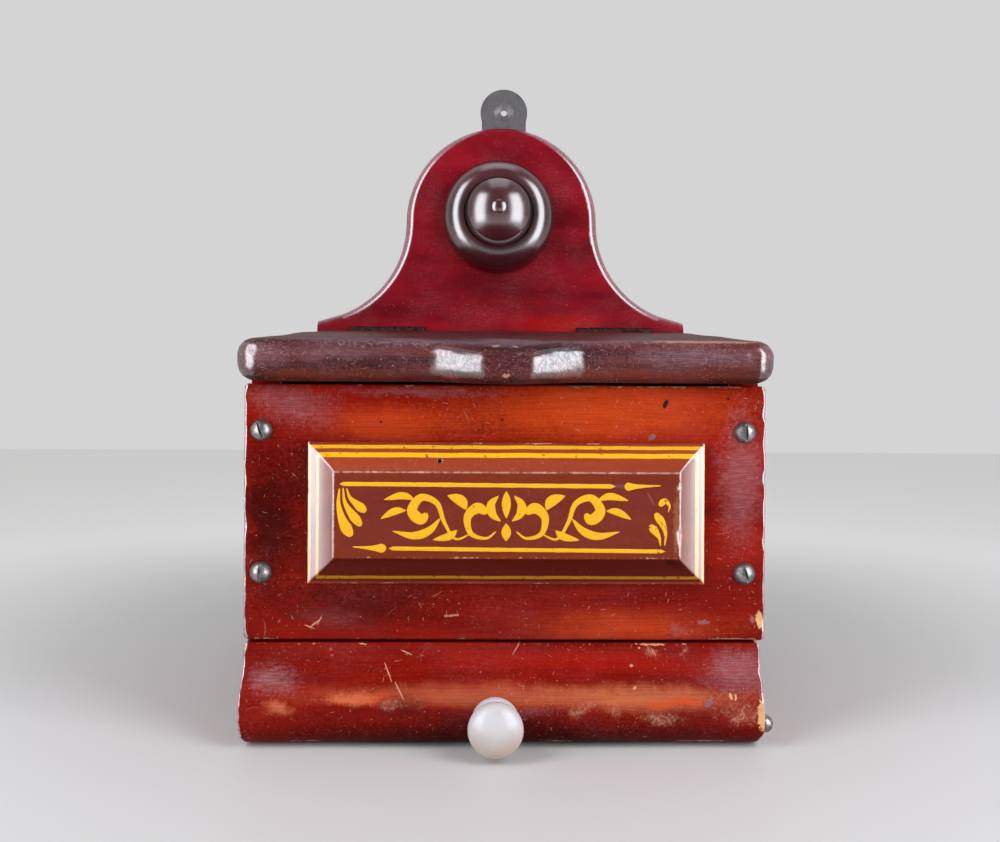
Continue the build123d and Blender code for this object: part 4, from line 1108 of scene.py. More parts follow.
def worn_plaque():
    """The plaque as one closed skin: its section carried round the rectangle, with the corners mitred.

    A point at distance d lies on the rectangle whose sides have moved in by d. The two arrises sink by
    clipped sums of waves of the distance round the rectangle, and by the placed chips.
    """
    section = plaque_section()
    normal = normals(section)
    low, high = np.array([PLAQUE_LOW[0], PLAQUE_LOW[2]]), np.array([PLAQUE_HIGH[0], PLAQUE_HIGH[2]])
    corners = np.array([[low[0], low[1]], [high[0], low[1]], [high[0], high[1]], [low[0], high[1]]])
    inward = np.array([[1, 1], [-1, 1], [-1, -1], [1, -1]], float)
    starts, starts_in, around = [], [], []
    for side, steps in enumerate((150, 56, 150, 56)):
        t = np.linspace(0.0, 1.0, steps, endpoint=False)[:, None]
        after = (side + 1) % 4
        starts.append(corners[side] + t * (corners[after] - corners[side]))
        starts_in.append(inward[side] + t * (inward[after] - inward[side]))
        around.append(side * 200.0 + t[:, 0] * np.linalg.norm(corners[after] - corners[side]))
    outline, move, run = np.concatenate(starts), np.concatenate(starts_in), np.concatenate(around)
    outline, move, run = (np.concatenate([v, v[:1]]) for v in (outline, move, run))
    run = np.tile(run, (len(section), 1))
    height = np.tile(section[:, 1:2], (1, run.shape[1]))
    inset = np.tile(section[:, 0:1], (1, run.shape[1]))
    top = PLAQUE_BACK_Y - PLAQUE_FACE_Y
    field_arris = bell(inset, 10.2, 0.55) * (height > top - 1.5)
    outer_arris = bell(inset, 0.15, 0.5) * bell(height, 2.8, 0.7)
    rough = waves(run, 0.0, 51, 12.0) + 0.6 * waves(run, 0.0, 52, 2.6)
    chipped = 0.06 + 0.30 * (rough - 0.45).clip(0, 1.4)
    rough = waves(run, 0.0, 53, 15.0) + 0.5 * waves(run, 0.0, 54, 3.2)
    frayed = 0.05 + 0.26 * (rough - 0.40).clip(0, 1.4)
    for place, half, deep in PLAQUE_CHIPS:
        chipped += deep * bell(run, place, half)
    sink = chipped * field_arris + frayed * outer_arris
    sink += 0.04 * (1.2 + waves(run, 4.0 * inset, 55, 34.0)).clip(0, 2.4) * ((inset > 1.0) & (inset < 9.0))
    worn = unit(sink / 0.32) * np.maximum(field_arris, outer_arris)
    inset = inset - normal[:, 0:1] * sink
    height = height - normal[:, 1:2] * sink
    flat = outline[None] + move[None] * inset[..., None]
    skin = np.stack([flat[..., 0], PLAQUE_BACK_Y - height, flat[..., 1]], -1)
    return build_piece("worn_plaque", ((skin, worn),), "case", weld=2e-5)


# ---------------------------------------------------------------- painted strokes

STROKE_POINTS = 60


def smooth_path(points, count):
    """A Catmull-Rom curve through the points, sampled evenly in parameter."""
    p = np.asarray(points, float)
    p = np.concatenate([[2 * p[0] - p[1]], p, [2 * p[-1] - p[-2]]])
    s = np.linspace(0, len(p) - 3 - 1e-9, count)
    i = s.astype(int)
    t = (s - i)[:, None]
    a, b, c, d = p[i], p[i + 1], p[i + 2], p[i + 3]
    return 0.5 * (2 * b + (c - a) * t + (2 * a - 5 * b + 4 * c - d) * t**2 + (3 * b - a - 3 * c + d) * t**3)


def stroke_skin(points, width, shape, film):
    """One brush stroke as a closed lens on the plaque's face.

    The path is carried across by its normal times half a width, and the film rises as a low arch over it.
    shape is "line" (even, round ends), "comma" (thin start, full round end) or "leaf" (two pointed ends).
    """
    path = smooth_path(points, STROKE_POINTS)
    t = np.linspace(0, 1, STROKE_POINTS)
    if shape == "line":
        length = np.linalg.norm(np.diff(path, axis=0), axis=1).sum()
        end = np.minimum(t, 1 - t) * length / (0.5 * width)
        profile = np.sqrt(unit(1 - (1 - unit(end)) ** 2))
        profile = profile * (1 + 0.07 * waves(path[:, 0], path[:, 1], 3, 9.0))
    elif shape == "comma":
        bulb = 0.78
        grow = 0.16 + 0.84 * (unit(t / bulb) ** 1.6)
        round_end = np.sqrt(unit(1 - (unit(t - bulb) / (1 - bulb)) ** 2))
        profile = np.minimum(grow, round_end) * unit(t / 0.04) ** 0.5
    else:
        profile = np.sin(math.pi * t) ** 0.85
    normal = normals(path)
    j = np.array([-1.0, -0.86, -0.5, 0.0, 0.5, 0.86, 1.0, 0.5, -0.5, -1.0])
    lift = np.array([0.0, 0.62, 0.92, 1.0, 0.92, 0.62, 0.0, -0.25, -0.25, 0.0])
    half = 0.5 * width * profile
    flat = path[:, None, :] + normal[:, None, :] * (half[:, None] * j[None, :])[..., None]
    rise = film * lift[None, :] * unit(profile)[:, None] ** 0.5
    rise[[0, -1]] = 0.0
    x = flat[..., 0]
    z = PLAQUE_Z + flat[..., 1]
    y = PLAQUE_FACE_Y - rise
    return np.stack([x, y, z], -1)


FIELD_LINES = (
    (((-57.7, 10.6), (-30.0, 10.5), (0.0, 10.3), (38.1, 10.1)), 1.55, "line"),
    (((-40.7, -11.6), (-10.0, -11.9), (20.0, -12.1), (55.4, -12.4)), 1.45, "line"),
    (((40.9, 10.0), (45.0, 10.1), (53.6, 10.4)), 3.0, "drop"),
    (((-41.4, -11.6), (-46.0, -11.5), (-53.0, -11.1)), 3.2, "drop"),
    (((-57.6, 9.2), (-57.9, 3.5), (-56.3, -2.5), (-53.4, -7.6)), 4.0, "comma"),
    (((-56.4, 9.4), (-55.8, 4.5), (-53.6, 0.6), (-50.0, -3.9)), 3.3, "comma"),
    (((-55.2, 9.2), (-54.0, 5.9), (-51.6, 3.6), (-48.4, 1.0)), 3.2, "comma"),
    (((53.5, -10.6), (53.2, -8.0), (52.0, -5.9), (49.8, -3.2)), 2.8, "comma"),
    (((55.0, -10.4), (55.3, -6.5), (54.3, -3.0), (51.6, 1.0)), 2.9, "comma"),
    (((56.2, 1.2), (56.6, 3.4), (55.0, 5.1), (53.0, 3.4)), 2.3, "comma"),
)

SCROLL_HALF = (
    (((3.4, -5.6), (7.0, -8.0), (12.2, -6.4), (13.4, -0.8), (10.0, 2.4), (6.6, 0.6)), 3.9, "comma"),
    (
        (
            (12.4, -6.6), (17.6, -8.2), (21.4, -2.6), (24.0, 4.0),
            (29.4, 6.0), (32.6, 1.6), (29.6, -1.6), (27.2, 0.6),
        ),
        4.0, "comma",
    ),
    (((22.6, -0.9), (26.6, -5.4), (32.0, -7.2), (39.4, -5.6)), 3.0, "leaf"),
    (((13.8, 1.8), (15.8, 5.0), (20.4, 6.8)), 3.8, "leaf"),
    (((31.6, 5.2), (36.0, 6.6), (42.4, 5.2)), 2.6, "leaf"),
    (((2.6, 6.8), (5.2, 3.8), (4.8, 0.4), (1.9, -2.2)), 3.2, "leaf"),
    (((17.0, -5.2), (19.8, -7.4), (25.4, -8.6)), 2.7, "leaf"),
    (((34.6, 1.6), (38.6, 1.2), (43.4, -1.4)), 2.6, "leaf"),
)

SCROLL_MIDDLE = (
    (((0.0, 8.4), (0.0, 4.0), (0.0, -1.2)), 3.2, "leaf"),
    (((0.0, -2.8), (0.0, -6.0), (0.0, -9.0)), 3.4, "leaf"),
)


def painted_field(settings):
    """All brush strokes of the field: lines, drops, two fans and a mirrored scroll, one skin each."""
    film = settings.film / MM
    strokes = list(FIELD_LINES) + list(SCROLL_MIDDLE)
    for points, width, shape in SCROLL_HALF:
        strokes.append((points, width, shape))
        strokes.append((tuple((-x, z) for x, z in points), width, shape))
    skins = []
    for points, width, shape in strokes:
        if shape == "drop":
            points, shape = tuple(reversed(points)), "comma"
        skins.append((stroke_skin(points, width, shape, film), 0.0))
    return build_piece("field_strokes", skins, "case")


# ---------------------------------------------------------------- placed wear

# In millimetres. A chip is the edge's number, x, half length and depth, and a dent is x, z, radius and depth.
# A mark is its kind, x, z, half length, half height, turn in degrees, ragged and strength.
FRONT_CHIPS = (
    (0, 26.6, 5.2, 0.36), (0, 39.5, 3.2, 0.25), (0, 53.4, 4.3, 0.3), (0, 61.6, 2.4, 0.3),
    (0, 77.4, 8.0, 0.25), (0, -33.9, 1.5, 0.3), (1, 83.0, 8.5, 0.4), (1, -86.0, 4.0, 0.3),
)
FRONT_DENTS = (
    (-44.6, 114.8, 0.8, 0.35), (-1.5, 115.8, 0.7, 0.35), (79.4, 123.7, 0.7, 0.35),
    (57.0, 121.8, 1.3, 0.45), (91.4, 45.0, 3.0, 0.9), (91.6, 108.0, 2.2, 0.5), (-91.5, 60.0, 2.4, 0.5),
)
FRONT_MARKS = (
    ("orange", 34.0, 119.0, 74.0, 17.0, 0.0, 0.3, 0.88),
    ("orange", -40.0, 114.0, 40.0, 10.0, 0.0, 0.4, 0.60),
    ("orange", 44.0, 42.0, 50.0, 9.0, 0.0, 0.4, 0.55),
    ("deep", -84.0, 80.0, 19.0, 38.0, 0.0, 0.4, 0.95),
    ("deep", -50.0, 51.0, 54.0, 12.0, 0.0, 0.5, 0.74),
    ("deep", -72.0, 96.0, 16.0, 16.0, 0.0, 0.5, 0.50),
    # bloom with painted reflections of the lamps: lilac sheen towards both ends and along the top
    ("haze", -75.0, 121.0, 21.0, 10.0, -12.0, 0.6, 0.72),
    ("haze", -30.0, 125.5, 40.0, 2.8, 0.0, 0.8, 0.50),
    ("haze", 84.0, 96.0, 11.0, 34.0, 0.0, 0.6, 0.80),
    ("haze", -62.0, 45.0, 18.0, 5.0, -6.0, 1.0, 0.22),
    ("haze", 62.0, 41.3, 6.0, 4.0, 0.0, 1.0, 0.50),
    ("grey", 52.3, 110.0, 1.6, 1.2, 20.0, 1.0, 0.6),
    ("grey", 70.9, 43.8, 2.4, 0.8, 0.0, 0.8, 0.6),
    ("bare", 91.2, 44.6, 1.5, 3.3, 4.0, 0.8, 0.95),
    ("dark", 57.0, 121.8, 0.9, 1.9, -24.0, 0.4, 0.97),
    ("dark", -44.6, 114.8, 0.6, 0.5, 0.0, 0.3, 0.9),
    ("dark", -1.5, 115.8, 0.6, 0.45, 0.0, 0.3, 0.9),
    ("dark", 79.4, 123.7, 0.6, 0.5, 0.0, 0.3, 0.9),
    ("tan", -67.7, 43.1, 2.6, 0.35, 38.0, 0.6, 0.8),
    ("tan", -66.0, 44.2, 2.0, 0.3, 62.0, 0.6, 0.8),
    ("tan", -69.6, 42.0, 2.2, 0.3, -20.0, 0.6, 0.7),
    ("tan", -19.0, 46.0, 3.0, 0.5, 4.0, 1.0, 0.6),
)
DRAWER_CHIPS = ((1, 70.0, 9.0, 0.4), (1, -70.0, 5.0, 0.3), (0, 52.0, 5.0, 0.3), (1, 20.0, 7.0, 0.3))
DRAWER_DENTS = (
    (-68.5, 8.6, 0.9, 0.45), (52.1, 33.0, 2.2, 0.3), (45.1, 28.4, 0.8, 0.3), (45.8, 21.4, 0.8, 0.3),
    (-39.3, 16.0, 3.6, 0.25), (70.7, 16.2, 2.6, 0.3), (81.0, 12.0, 5.0, 0.35), (54.5, 10.4, 5.0, 0.3),
    (90.0, 12.7, 3.4, 0.8), (-90.5, 12.0, 3.0, 0.5), (20.0, 7.0, 3.5, 0.3), (-12.0, 20.0, 2.5, 0.2),
)
DRAWER_MARKS = (
    ("red", 24.0, 30.0, 80.0, 7.0, 0.0, 0.3, 0.40),
    # painted highlight of the lamps: a pale amber band along the swell's crest
    ("amber", 0.0, 19.0, 100.0, 5.2, 0.0, 0.25, 0.48),
    ("amber", 50.0, 18.0, 48.0, 6.4, 0.0, 0.3, 0.55),
    ("orange", 58.0, 16.8, 17.0, 1.9, 0.0, 0.5, 0.85),
    ("orange", -50.0, 18.0, 18.0, 2.6, 0.0, 0.5, 0.60),
    ("plum", -35.0, 15.5, 13.0, 6.0, 0.0, 0.8, 0.55),
    ("plum", -4.0, 10.0, 32.0, 7.0, 0.0, 0.5, 0.75),
    # painted shade: a dark band along the lower edge, where the front curves under
    ("deep", 0.0, 2.5, 150.0, 13.5, 0.0, 0.3, 1.0),
    # painted reflections of the lamps: lilac sheen at both upper ends and on the crest
    ("haze", -82.0, 24.0, 11.0, 7.0, 0.0, 0.8, 0.95),
    ("haze", 84.0, 27.0, 17.0, 10.5, 0.0, 0.5, 1.0),
    ("haze", 5.0, 14.0, 20.0, 3.0, 0.0, 1.0, 0.40),
    # more of the swell's painted highlight
    ("amber", -54.0, 18.2, 12.0, 3.4, 0.0, 0.5, 0.65),
    ("amber", -80.0, 14.5, 7.0, 3.2, 0.0, 0.5, 0.70),
    ("tan", -39.3, 16.0, 4.4, 2.2, 6.0, 0.7, 0.60),
    ("tan", 82.0, 13.0, 9.0, 5.0, 0.0, 0.9, 0.75),
    ("tan", 54.5, 11.4, 9.0, 3.4, -10.0, 0.9, 0.60),
    ("tan", 28.0, 14.0, 6.5, 3.0, 24.0, 0.8, 0.55),
    ("tan", 38.0, 14.5, 4.0, 3.0, -50.0, 0.8, 0.45),
    ("pink", -62.0, 34.0, 0.7, 0.6, 0.0, 0.6, 0.9),
    ("pink", -61.5, 31.9, 0.7, 0.5, 0.0, 0.6, 0.9),
    ("tan", -41.5, 26.4, 3.9, 0.28, -66.0, 0.4, 0.8),
    ("tan", -37.0, 20.4, 3.6, 0.28, -56.0, 0.4, 0.8),
    ("tan", -35.1, 32.9, 2.5, 0.30, -25.0, 0.4, 0.8),
    ("tan", 52.1, 33.0, 3.6, 1.7, 0.0, 1.0, 0.95),
    ("tan", 47.9, 34.6, 0.5, 0.4, 0.0, 0.6, 0.80),
    ("tan", 66.0, 34.0, 2.4, 1.6, 40.0, 1.0, 0.70),
    ("tan", 4.0, 34.4, 3.2, 0.3, 60.0, 0.6, 0.55),
    ("tan", 45.1, 28.4, 0.8, 0.5, 0.0, 0.8, 0.9),
    ("tan", 45.8, 21.4, 0.8, 0.5, 30.0, 0.8, 0.9),
    ("grey", 70.7, 16.2, 3.0, 2.0, 10.0, 1.2, 0.70),
    ("bare", 79.3, 19.1, 0.5, 1.4, 12.0, 0.8, 0.85),
    ("bare", 81.0, 18.6, 0.4, 1.2, -8.0, 0.8, 0.85),
    ("bare", 90.2, 12.7, 1.7, 6.0, 0.0, 0.9, 0.90),
)
BACK_MARKS = (
    ("red", 26.0, 165.0, 34.0, 7.0, 0.0, 0.7, 0.60),
    ("red", -30.0, 158.0, 30.0, 5.0, 0.0, 0.7, 0.40),
)
LID_MARKS = (
    ("russet", 50.0, 131.4, 60.0, 3.4, 0.0, 0.4, 0.80),
    ("russet", -62.0, 131.4, 44.0, 3.0, 0.0, 0.4, 0.70),
    # bloom: a dusty band along the top arris; the patches towards the ends also paint the lamps' sheen
    ("haze", -84.0, 138.0, 11.0, 6.0, 0.0, 1.0, 0.50),
    ("haze", 0.0, 143.4, 110.0, 2.4, 0.0, 1.2, 0.80),
    ("deep", -50.0, 135.0, 34.0, 3.6, 0.0, 0.8, 0.60),
    ("deep", 24.0, 138.0, 9.0, 6.0, 0.0, 0.8, 0.50),
    ("haze", 66.0, 138.0, 40.0, 5.0, 0.0, 0.9, 0.55),
    ("haze", -56.0, 139.0, 30.0, 4.0, 0.0, 1.1, 0.35),
    ("plum", 0.0, 136.0, 13.0, 6.0, 0.0, 0.6, 0.55),
    ("tan", 69.4, 143.5, 22.0, 0.6, 0.0, 0.8, 0.60),
    ("tan", 92.0, 137.5, 1.6, 2.2, 0.0, 1.2, 0.80),
    ("tan", -4.1, 141.3, 1.5, 0.7, 10.0, 1.2, 0.80),
    ("tan", 2.8, 141.0, 1.1, 0.6, -20.0, 1.2, 0.80),
    ("tan", -0.6, 130.6, 1.4, 0.7, 0.0, 1.2, 0.80),
)
PLAQUE_CHIPS = (  # distance round from the lower left corner, half length, depth
    (581.0, 2.2, 0.4), (593.0, 3.0, 0.25), (300.0, 3.0, 0.3), (212.0, 6.0, 0.3),
)
PLAQUE_MARKS = (
    ("grey", 40.0, 92.9, 3.2, 0.9, 0.0, 1.2, 0.85),
    ("tan", 50.0, 88.9, 3.3, 0.3, -62.0, 0.5, 0.80),
    ("bare", 59.2, 80.0, 1.2, 12.0, 0.0, 1.6, 0.60),
    ("dark", 58.0, 66.0, 3.2, 1.4, -20.0, 1.4, 0.80),
)


# ---------------------------------------------------------------- operators


class SALTBOX_OT_stain_boards(bpy.types.Operator):
    """Stain, polish and wear the case's boards and the drawer front"""

    bl_idname = "salt_box.stain_boards"
    bl_label = "Stain the Boards"

    def execute(self, context):
        profile, arrises = front_board_profile()
        ends = (FRONT_LOW[0], FRONT_HIGH[0])
        board = worn_moulding(
            "worn_front_board", "case", profile, FRONT_HIGH[1], ends, arrises,
            seed=70, chips=FRONT_CHIPS, dents=FRONT_DENTS, end_wear=0.5,
        )
        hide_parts("front_board")
        front = aged_wood(
            "Stained front board", "xzy", worn=True, dust=0.13, scratches=0.42, specks=0.55,
            rim=1.0, rim_pale=0.65, pale=(0.46, 0.17, 0.10), marks=FRONT_MARKS,
        )
        dress((board.name,), front)

        profile, arrises = drawer_front_profile()
        ends = (DRAWER_LOW[0], DRAWER_HIGH[0])
        swell = worn_moulding(
            "worn_drawer_front", "drawer", profile, DRAWER_HIGH[1], ends, arrises,
            seed=90, chips=DRAWER_CHIPS, dents=DRAWER_DENTS, end_wear=0.9,
        )
        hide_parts("drawer_front")
        drawer = aged_wood(
            "Stained drawer front", "xzy", worn=True, shift=211.0, dust=0.17, scratches=0.55, specks=0.65,
            hairs=1.9, rim=1.0, rim_pale=0.70, pale=(0.50, 0.24, 0.14), marks=DRAWER_MARKS,
        )
        dress((swell.name,), drawer)
        for name, shift in (("side_left", 400.0), ("side_right", 520.0)):
            side = aged_wood(
                "Stained " + name.replace("_", " "), "yzx", box=box_mm(name), shift=shift, dust=0.22,
                scratches=0.45, pale=(0.46, 0.17, 0.10),
            )
            dress((name,), side)
        back = aged_wood(
            "Stained backboard", "xzy", deep=(0.110, 0.003, 0.007), bright=(0.240, 0.006, 0.013), shift=640.0,
            figure=60.0, band=16.0, contrast=3.0, streaks=0.5, dust=0.30, scratches=0.20, specks=0.2,
            line_strength=0.30, rim=1.0, rim_pale=0.30, coat_roughness=0.28, marks=BACK_MARKS,
        )
        dress(("backboard",), back)
        return {"FINISHED"}


class SALTBOX_OT_shape_lid(bpy.types.Operator):
    """Build the worn lid in place of the plain one"""

    bl_idname = "salt_box.shape_lid"
    bl_label = "Shape the Lid"

    def execute(self, context):
        lid = worn_lid(context.scene.salt_box_lid)
        cutters = [cutter for x in (-HINGE_X, HINGE_X) for cutter in hinge_cutter("hinge_room", x)]
        cut_away(lid, cutters)
        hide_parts("lid")
        material = aged_wood(
            "Worn lid", "xzy", deep=(0.014, 0.003, 0.004), bright=(0.120, 0.025, 0.021), shift=90.0,
            top="xyz", band=6.0, contrast=2.8, cloud=26.0, dust=0.27, haze=(0.270, 0.165, 0.190),
            scratches=0.85, hairs=1.5, specks=0.8, line_strength=0.52, lines=(0.55, 0.40, 0.43), worn=True,
            pale=(0.36, 0.15, 0.09), roughness=0.40, coat=0.07, rim=1.0, coat_roughness=0.25, broken=0.42,
            marks=LID_MARKS,
        )
        dress((lid.name,), material)
        return {"FINISHED"}


PLAQUE_LINES = {  # distances from the outer edge: thin line, its half width, thick line, its half width
    "top": (1.70, 0.62, 4.50, 0.82),
    "left": (0.70, 0.50, 3.80, 0.52),
    "right": (0.65, 0.45, 3.05, 0.66),
    "bottom": (0.0, 0.0, 2.50, 0.55),
}


class SALTBOX_OT_paint_plaque(bpy.types.Operator):
    """Stain the plaque, line its cove and paint the scrolls on its field"""

    bl_idname = "salt_box.paint_plaque"
    bl_label = "Paint the Plaque"

    def execute(self, context):
        paint = context.scene.salt_box_paint
        plaque = worn_plaque()
        cut_away(plaque, (pin_hole_cutter(),))
        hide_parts("plaque")
        dress((plaque.name,), plaque_wood(paint))
        strokes = painted_field(paint)
        dress((strokes.name,), lining_paint(paint))
        return {"FINISHED"}


def plaque_wood(paint):
    """The plaque: a plum field, an orange-brown cove and yellow lines, each side with its own distances, with
    painted shade on the lower cove and its line, painted light on the upper cove and a painted highlight on
    the field's arris.
    """
    material = aged_wood(
        "Plaque wood", "xzy", deep=(0.130, 0.010, 0.005), bright=(0.310, 0.050, 0.018), shift=800.0,
        dust=0.12, scratches=0.50, specks=0.50, streaks=0.6, worn=True, pale=(0.50, 0.22, 0.13),
        rim=1.0, coat_ior=2.9, coat_roughness=0.42, roughness=0.36, marks=PLAQUE_MARKS,
    )
    w = Wires(material.node_tree)
    shader = next(node for node in material.node_tree.nodes if node.type == "BSDF_PRINCIPLED")
    place = w.own("Object") * 1000.0
    x, y, z = w.parts(place)
    distance = {
        "top": PLAQUE_HIGH[2] - z,
        "left": x - PLAQUE_LOW[0],
        "right": PLAQUE_HIGH[0] - x,
        "bottom": z - PLAQUE_LOW[2],
    }
    share = {side: distance[side] / PLAQUE_LINES[side][2] for side in distance}
    nearest = w.least(share["top"], share["bottom"], share["left"], share["right"])
    rim = w.least(distance["top"], distance["bottom"], distance["left"], distance["right"])
    wander = (w.noise(place, scale=0.1, detail=3.0) - 0.5) * 0.45
    lines = 0.0
    for side, (thin, thin_half, thick, thick_half) in PLAQUE_LINES.items():
        off = distance[side] + wander
        band = w.step(abs(off - thick), thick_half + 0.1, thick_half - 0.1)
        if thin:
            fine = w.step(abs(off - thin), thin_half + 0.1, thin_half - 0.1)
            band = w.most(band, fine * 0.85)
        here = share[side] - nearest < 0.001
        lines = w.most(band * here, lines)
    front = w.step(y, PLAQUE_FACE_Y + 6.9, PLAQUE_FACE_Y + 6.3)
    gone = w.step(w.noise(place, scale=0.45, detail=5.0, roughness=0.75), 0.405, 0.345)
    lines = lines * front * (1.0 - gone)

    field = w.step(y, PLAQUE_FACE_Y + 0.35, PLAQUE_FACE_Y + 0.1)
    cove = w.math("SUBTRACT", w.step(rim, 0.5, 1.5), field, clamp=True)
    # Painted highlight, partly pale wear: a broken pale line on the field's arris, kept off the bottom side.
    arris = w.step(abs(rim - 10.25), 0.45, 0.12)
    arris = arris * w.step(w.noise(place, scale=0.5, detail=4.0, roughness=0.7), 0.34, 0.6)
    worn_colour = Value(w, shader.inputs["Base Color"].links[0].from_socket)
    # Painted shade: the cove of the bottom side is darkened.
    shaded_bottom_side = distance["bottom"] - rim < 0.01
    colour = w.mix(shaded_bottom_side * cove * 0.8, worn_colour, (0.055, 0.002, 0.001))
    # Painted light: the cove of the top side is made brighter orange-brown.
    lit_top_side = distance["top"] - rim < 0.01
    colour = w.mix(lit_top_side * cove * 0.45, colour, (0.36, 0.06, 0.022))
    plum = w.mix(w.noise(place, scale=0.9, detail=3.0), (0.105, 0.013, 0.009), (0.160, 0.026, 0.017))
    plum = w.mix(w.step(rim, 13.6, 11.6), plum, (0.150, 0.020, 0.006))
    colour = w.mix(field * 0.75, colour, plum)
    rubbed = w.wear()
    torn = w.noise(place, scale=0.9, detail=4.0, roughness=0.7)
    rubbed = w.step(rubbed + (torn - 0.5) * 1.2, 0.22, 0.55)
    colour = w.mix(rubbed * 0.75, colour, (0.56, 0.27, 0.18))
    colour = w.mix(arris * (1.0 - shaded_bottom_side) * 0.65, colour, (0.55, 0.34, 0.31))
    yellow = w.mix(w.noise(place, scale=1.5, detail=3.0), tinted(paint.yellow, 0.80), tuple(paint.yellow))
    # Painted shade: the yellow line of the bottom side is darkened.
    yellow = w.mix(shaded_bottom_side * 0.72, yellow, (0.2, 0.055, 0.002))
    colour = w.mix(lines, colour, yellow)
    w.put(shader.inputs["Base Color"], colour)
    return material


def lining_paint(paint):
    """Old yellow lining paint with fine wear down to the wood."""
    material, w, shader, place = new_material("Lining paint")
    mottle = w.noise(place, scale=1.2, detail=4.0, roughness=0.6)
    colour = w.mix(mottle, tinted(paint.yellow, 0.78), tuple(paint.yellow))
    x, _, _ = w.parts(place)
    worn_end = w.step(x, 40.0, 62.0) * 0.09
    low = worn_end + 0.335
    high = worn_end + 0.37
    worn = w.step(w.noise(place, scale=0.75, detail=6.0, roughness=0.8), high, low)
    colour = w.mix(worn, colour, (0.11, 0.025, 0.014))
    rough = mottle * 0.2 + 0.34
    w.fit(shader, Base_Color=colour, Roughness=rough, Normal=bump(w, mottle, 0.03), Specular_IOR_Level=0.3)
    return material


class SALTBOX_OT_polish_boss(bpy.types.Operator):
    """Polish the turned boss"""

    bl_idname = "salt_box.polish_boss"
    bl_label = "Polish the Boss"

    def execute(self, context):
        boss = aged_wood(
            "Polished boss", "xzy", deep=(0.016, 0.002, 0.004), bright=(0.070, 0.006, 0.009), shift=950.0,
            streaks=0.3, dust=0.14, scratches=0.18, specks=0.3, line_strength=0.3, roughness=0.22, coat=0.9,
            coat_roughness=0.22,
        )
        dress(("boss",), boss)
        return {"FINISHED"}


def old_metal(name, bright, dark, rust, roughness, scale):
    """Steel or zinc gone dull: bright metal under cloudy tarnish, with rust spots and fine scratches."""
    material, w, shader, place = new_material(name)
    cloud = w.noise(place, scale=scale, detail=5.0, roughness=0.65)
    spots = w.step(w.noise(place, scale=scale * 2.5, detail=4.0, roughness=0.7), 0.62, 0.72)
    lines = w.noise(place * (6.0, 1.0, 0.8))
    tarnish = w.step(cloud, 0.35, 0.65)
    colour = w.mix(tarnish, bright, dark)
    colour = w.mix(spots * 0.6, colour, rust)
    rough = tarnish * 0.2 + roughness + lines * 0.12
    raised = bump(w, cloud + lines * 0.4, 0.06)
    w.fit(shader, Base_Color=colour, Metallic=spots * -0.6 + 0.95, Roughness=rough, Normal=raised)
    return material


class SALTBOX_OT_finish_metal(bpy.types.Operator):
    """Finish the screws, the hanging plate, the hinges and the nails"""

    bl_idname = "salt_box.finish_metal"
    bl_label = "Finish the Metal"

    def execute(self, context):
        fittings = context.scene.salt_box_fittings
        steel, zinc = tuple(fittings.steel), tuple(fittings.zinc)
        rust = (0.10, 0.035, 0.018)
        metals = (
            ("Screw steel", steel, tinted(steel, 0.4), rust, 0.26, 0.5),
            ("Dull zinc", tinted(zinc, 1.4), zinc, (0.20, 0.16, 0.13), 0.42, 0.3),
            ("Dull hinge iron", (0.085, 0.035, 0.032), (0.035, 0.014, 0.013), (0.07, 0.02, 0.015), 0.56, 0.5),
            ("Nail iron", (0.12, 0.10, 0.09), (0.05, 0.04, 0.035), rust, 0.55, 0.5),
        )
        hinges = [name for name in NODES if name.startswith(("hinge_", "lid_leaf_"))]
        pieces = (
            ("front_screws", "drawer_end_screw", "knob_stem"),
            ("hanging_plate",),
            (*hinges, "hanging_plate_screws"),
            ("plaque_pins", "backboard_nails", "floor_nails", "base_nails", "drawer_nails"),
        )
        for names, metal in zip(pieces, metals):
            dress(names, old_metal(*metal))
        return {"FINISHED"}


class SALTBOX_OT_glaze_knob(bpy.types.Operator):
    """Glaze the porcelain knob"""

    bl_idname = "salt_box.glaze_knob"
    bl_label = "Glaze the Knob"

    def execute(self, context):
        glaze = tuple(context.scene.salt_box_fittings.glaze)
        material, w, shader, place = new_material("Porcelain glaze")
        cloud = w.noise(place, scale=0.12, detail=3.0)
        _, _, z = w.parts(place)
        # Painted reflection: the glaze turns warm tan towards the bottom, from 15 mm down to 4 mm, with
        # cloudy edges.
        low = w.math("ADD", w.step(z, 15.0, 4.0), (cloud - 0.5) * 1.2, clamp=True)
        colour = w.mix(low, glaze, tuple(v * f for v, f in zip(glaze, (0.86, 0.68, 0.54))))
        specks = w.group(shared(nick_group), Vector=place, Cell=1.6, Radius=0.07, Share=0.4)["Mask"]
        colour = w.mix(specks * 0.7, colour, (0.16, 0.14, 0.13))
        w.fit(
            shader, Base_Color=colour, Roughness=w.noise(place, scale=0.4, detail=4.0) * 0.16 + 0.24,
            Normal=bump(w, w.noise(place, scale=0.16), 0.2), Subsurface_Weight=0.15,
            Subsurface_Scale=0.002, Coat_Weight=0.2, Coat_Roughness=0.16,
        )
        dress(("drawer_knob",), material)
        return {"FINISHED"}


